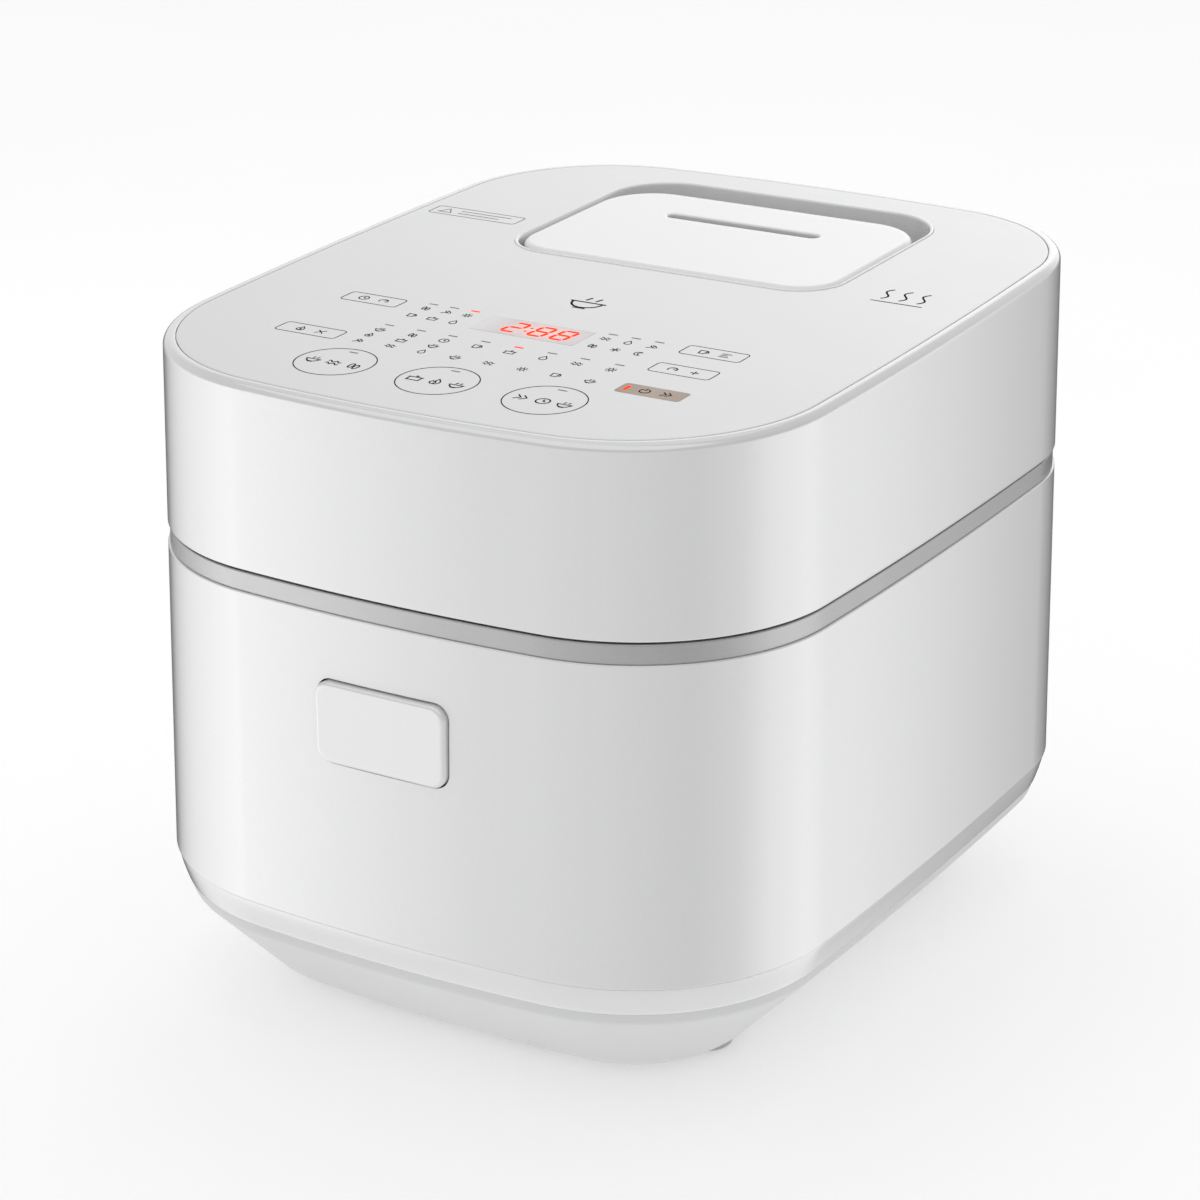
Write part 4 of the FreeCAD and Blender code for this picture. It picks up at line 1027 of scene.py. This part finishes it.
def digit(x, y, which, hw=2.9, hh=5.1, w=1.4):
    P = {"a": (x - hw, y + hh, x + hw, y + hh), "d": (x - hw, y - hh, x + hw, y - hh), "g": (x - hw, y, x + hw, y),
         "f": (x - hw, y, x - hw, y + hh), "b": (x + hw, y, x + hw, y + hh), "e": (x - hw, y - hh, x - hw, y), "c": (x + hw, y - hh, x + hw, y)}
    for s in which:
        seg(*P[s], w)


DY = -61.3
digit(-8.6, DY, "abged")
digit(2.6, DY, "abcdefg")
digit(12.0, DY, "abcdefg")
for yy in (DY + 1.9, DY - 2.1):
    blob(led_bm, [(-3.05 + 0.13 * (yy - DY) + 0.65 * math.cos(t), yy + 0.65 * math.sin(t)) for t in [2 * math.pi * i / 16 for i in range(16)]][::-1], LED_LO, LED_HI)

win = bmesh.new()
blob(win, rr_pts(-1.6, -61.3, 22.2, 8.6, 0.6)[::-1], INK_LOW, 0.05)
start = bmesh.new()
blob(start, rr_pts(71.8, -101.0, 12.9, 4.9, 1.6)[::-1], INK_LOW, 0.06)
sred = [(61.7, -103.3), (61.7, -98.7)]
ribbon(redm, sred, 1.25, lo=0.062, hi=0.1)
sd = bmesh.new()
icon(dark, "power", 69.0, -101.0, 2.4, 0.5, hi=0.1)
icon(dark, "fast", 77.6, -101.0, 2.2, 0.5, hi=0.1)
sd.free()

graphic("print_dark", dark, M_INK, "display_window")
graphic("print_grey", grey, M_INK_GREY, "display_window")
graphic("indicator_bars", redm, M_LED, "display_window")
graphic("digit_segments", led_bm, M_LED, "display_window")
graphic("digit_window", win, M_WINDOW, "display_window")
graphic("start_key", start, M_START, "display_window")

# ------------------------------------------------------- springs
def coil_spring(name, node, axis, wire, turns, fixed_high):
    """A compression spring with close end turns."""
    lo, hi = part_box(node)
    mid = (lo + hi) * 0.5
    length = hi[axis] - lo[axis]
    u, v = ((1, 2), (2, 0), (0, 1))[axis]
    r = min(hi[u] - lo[u], hi[v] - lo[v]) * 0.5 - wire
    rise = length - 2.0 * wire
    dead = 0.8 / turns
    low = 1.6 * wire
    bm = bmesh.new()
    rings = []
    count = int(turns * 36)
    for k in range(count + 1):
        t = k / count
        if t < dead:
            h = low * t / dead
        elif t > 1.0 - dead:
            h = rise - low * (1.0 - t) / dead
        else:
            h = low + (rise - 2.0 * low) * (t - dead) / (1.0 - 2.0 * dead)
        a = 2.0 * math.pi * turns * t
        ring = []
        for q in range(10):
            b_ = 2.0 * math.pi * q / 10
            p = Vector((0.0, 0.0, 0.0))
            rr = r + wire * math.cos(b_)
            p[u] = mid[u] + rr * math.cos(a)
            p[v] = mid[v] + rr * math.sin(a)
            p[axis] = lo[axis] + wire + h + wire * math.sin(b_)
            ring.append(bm.verts.new(p))
        rings.append(ring)
    for r0, r1 in zip(rings, rings[1:]):
        for q in range(10):
            bm.faces.new((r0[q], r0[(q + 1) % 10], r1[(q + 1) % 10], r1[q]))
    bm.faces.new(rings[0])
    bm.faces.new(list(reversed(rings[-1])))
    bmesh.ops.recalc_face_normals(bm, faces=bm.faces[:])
    for f in bm.faces:
        f.smooth = len(f.verts) == 4
    me = bpy.data.meshes.new(name)
    bm.to_mesh(me)
    bm.free()
    ob = place(name, me, M_SPRING, "body", "spring_steel", node)
    anchor = list(mid)
    anchor[axis] = hi[axis] if fixed_high else lo[axis]
    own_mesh(ob)
    return ob


coil_spring("button_spring_coil", "button_spring", 1, 0.0005, 5.0, True)
coil_spring("sensor_spring_coil", "sensor_spring", 2, 0.00065, 6.0, False)

# ------------------------------------------------------------------ studio
floor_me = bpy.data.meshes.new("studio_floor")
fb = bmesh.new()
bmesh.ops.create_grid(fb, x_segments=2, y_segments=2, size=6.0)
fb.to_mesh(floor_me)
fb.free()
floor = bpy.data.objects.new("studio_floor", floor_me)
bpy.context.scene.collection.objects.link(floor)
floor.location = (0, 0, -0.0002)
fm = Mat("floor_paper", rough=0.9, spec=0.1)
fm.color(fm.ramp(fm.noise(3.0, 2.0), [(0.3, (0.86, 0.86, 0.86)), (0.7, (0.875, 0.875, 0.875))]))
fm.b.inputs["Emission Color"].default_value = (1, 1, 1, 1)
fm.b.inputs["Emission Strength"].default_value = 0.30
floor_me.materials.append(fm.m)
floor.visible_glossy = False

world = bpy.data.worlds.new("studio")
bpy.context.scene.world = world
world.use_nodes = True
wt = world.node_tree
for n in list(wt.nodes):
    wt.nodes.remove(n)
out = wt.nodes.new("ShaderNodeOutputWorld")
bg = wt.nodes.new("ShaderNodeBackground")
cam_bg = wt.nodes.new("ShaderNodeBackground")
lp = wt.nodes.new("ShaderNodeLightPath")
mixs = wt.nodes.new("ShaderNodeMixShader")
cam_bg.inputs["Color"].default_value = (0.985, 0.985, 0.985, 1)
cam_bg.inputs["Strength"].default_value = 1.0
tcw = wt.nodes.new("ShaderNodeTexCoord")
sx = wt.nodes.new("ShaderNodeSeparateXYZ")
wt.links.new(tcw.outputs["Generated"], sx.inputs[0])


def wmath(op, a, b=0.0):
    m = wt.nodes.new("ShaderNodeMath")
    m.operation = op
    for s, v in zip(m.inputs, (a, b)):
        if isinstance(v, (int, float)):
            s.default_value = v
        else:
            wt.links.new(v, s)
    return m.outputs[0]


def smooth(v, a, b):
    m = wt.nodes.new("ShaderNodeMapRange")
    m.interpolation_type = "SMOOTHSTEP"
    m.inputs["From Min"].default_value = a
    m.inputs["From Max"].default_value = b
    wt.links.new(v, m.inputs["Value"])
    return m.outputs["Result"]


# azimuth of a direction in degrees: 0 towards the front (-Y), 90 to the right (+X), 180 to the back
az = wmath("MULTIPLY", wmath("ARCTAN2", sx.outputs[0], wmath("MULTIPLY", sx.outputs[1], -1.0)), 180.0 / math.pi)
el = sx.outputs[2]


def az_ramp(stops, top):
    """Radiance by azimuth, from (degrees, radiance) stops."""
    ramp = wt.nodes.new("ShaderNodeValToRGB")
    els = ramp.color_ramp.elements
    while len(els) < len(stops):
        els.new(0.5)
    for e, (p, v) in zip(els, stops):
        e.position = (p + 180.0) / 360.0
    for e, (p, v) in zip(els, stops):
        e.color = (v / top, v / top, v / top, 1.0)
    lin = wt.nodes.new("ShaderNodeMapRange")
    lin.inputs["From Min"].default_value = -180.0
    lin.inputs["From Max"].default_value = 180.0
    wt.links.new(az, lin.inputs["Value"])
    wt.links.new(lin.outputs["Result"], ramp.inputs["Fac"])
    return wmath("MULTIPLY", ramp.outputs["Color"], top)


def blend_values(fac, lo, hi):
    m = wt.nodes.new("ShaderNodeMix")
    m.data_type = "FLOAT"
    wt.links.new(fac, m.inputs[0])
    for s, v in ((2, lo), (3, hi)):
        if isinstance(v, (int, float)):
            m.inputs[s].default_value = v
        else:
            wt.links.new(v, m.inputs[s])
    return m.outputs[0]


# what the walls mirror: a big softbox at the front left, a weak fill in front, a softbox on the
# right and dark flags at the back
BANDS = [(-180, 0.1), (-125, 0.1), (-75, 1.9), (-50, 2.9), (-25, 1.35), (10, 1.2), (60, 0.8), (85, 1.2),
         (105, 2.0), (130, 2.1), (150, 1.5), (162, 0.25), (180, 0.1)]
# the room above the table, brightest behind the object, where the flat top mirrors it
ROOM = [(-180, 1.2), (-160, 1.75), (-150, 1.3), (-140, 1.0), (-120, 0.8), (-60, 0.75), (0, 0.55), (100, 0.4),
        (150, 0.7), (180, 1.2)]
bands = az_ramp(BANDS, 8.0)
room = az_ramp(ROOM, 2.0)
sky = blend_values(smooth(el, 0.30, 0.62), room, 0.72)
low = blend_values(smooth(el, -0.78, -0.46), 1.25, bands)
total = blend_values(smooth(el, -0.04, 0.02), low, sky)
wt.links.new(total, bg.inputs["Strength"])
bg.inputs["Color"].default_value = (1, 1, 1, 1)
wt.links.new(lp.outputs["Is Camera Ray"], mixs.inputs[0])
wt.links.new(bg.outputs[0], mixs.inputs[1])
wt.links.new(cam_bg.outputs[0], mixs.inputs[2])
wt.links.new(mixs.outputs[0], out.inputs[0])


def area(name, loc, target, size, energy):
    ld = bpy.data.lights.new(name, "AREA")
    ld.shape = "RECTANGLE"
    ld.size, ld.size_y = size
    ld.energy = energy
    ob = bpy.data.objects.new(name, ld)
    bpy.context.scene.collection.objects.link(ob)
    ob.location = loc
    ob.rotation_euler = (Vector(target) - Vector(loc)).to_track_quat("-Z", "Y").to_euler()
    return ob


area("top_softbox", (-0.25, 0.35, 1.7), (0, 0, 0.2), (1.5, 1.3), 3.0)

# a reflector overhead in front: only gloss sees it, as the highlight along the lid's upper edge
bm = bmesh.new()
quad = [bm.verts.new(v) for v in ((-1.5, -2.1, 1.5), (1.9, -2.1, 1.5), (1.9, -0.35, 1.9), (-1.5, -0.35, 1.9))]
bm.faces.new(quad)
me = bpy.data.meshes.new("overhead_reflector")
bm.to_mesh(me)
bm.free()
reflector = bpy.data.objects.new("overhead_reflector", me)
bpy.context.scene.collection.objects.link(reflector)
rm = Mat("overhead_reflector", rough=1.0)
rm.b.inputs["Base Color"].default_value = (0, 0, 0, 1)
rm.b.inputs["Emission Color"].default_value = (1, 1, 1, 1)
rm.b.inputs["Emission Strength"].default_value = 1.6
me.materials.append(rm.m)
reflector.visible_camera = False
reflector.visible_diffuse = False
reflector.visible_shadow = False
reflector.visible_transmission = False

# ------------------------------------------------------------------ camera
cam_data = bpy.data.cameras.new("camera")
cam = bpy.data.objects.new("camera", cam_data)
bpy.context.scene.collection.objects.link(cam)
cam_data.sensor_width = 36.0
cam_data.lens = 103.15
cam_data.clip_end = 50.0
a, p = math.radians(30.94), math.radians(20.72)
fwd = Vector((-math.sin(a) * math.cos(p), math.cos(a) * math.cos(p), -math.sin(p)))
cam.location = (0.63703, -1.08979, 0.60533)
cam.rotation_euler = fwd.to_track_quat("-Z", "Y").to_euler()
bpy.context.scene.camera = cam

view = bpy.context.scene.view_settings
view.view_transform = "Standard"
view.look = "None"
view.exposure = 0.0
view.gamma = 1.0
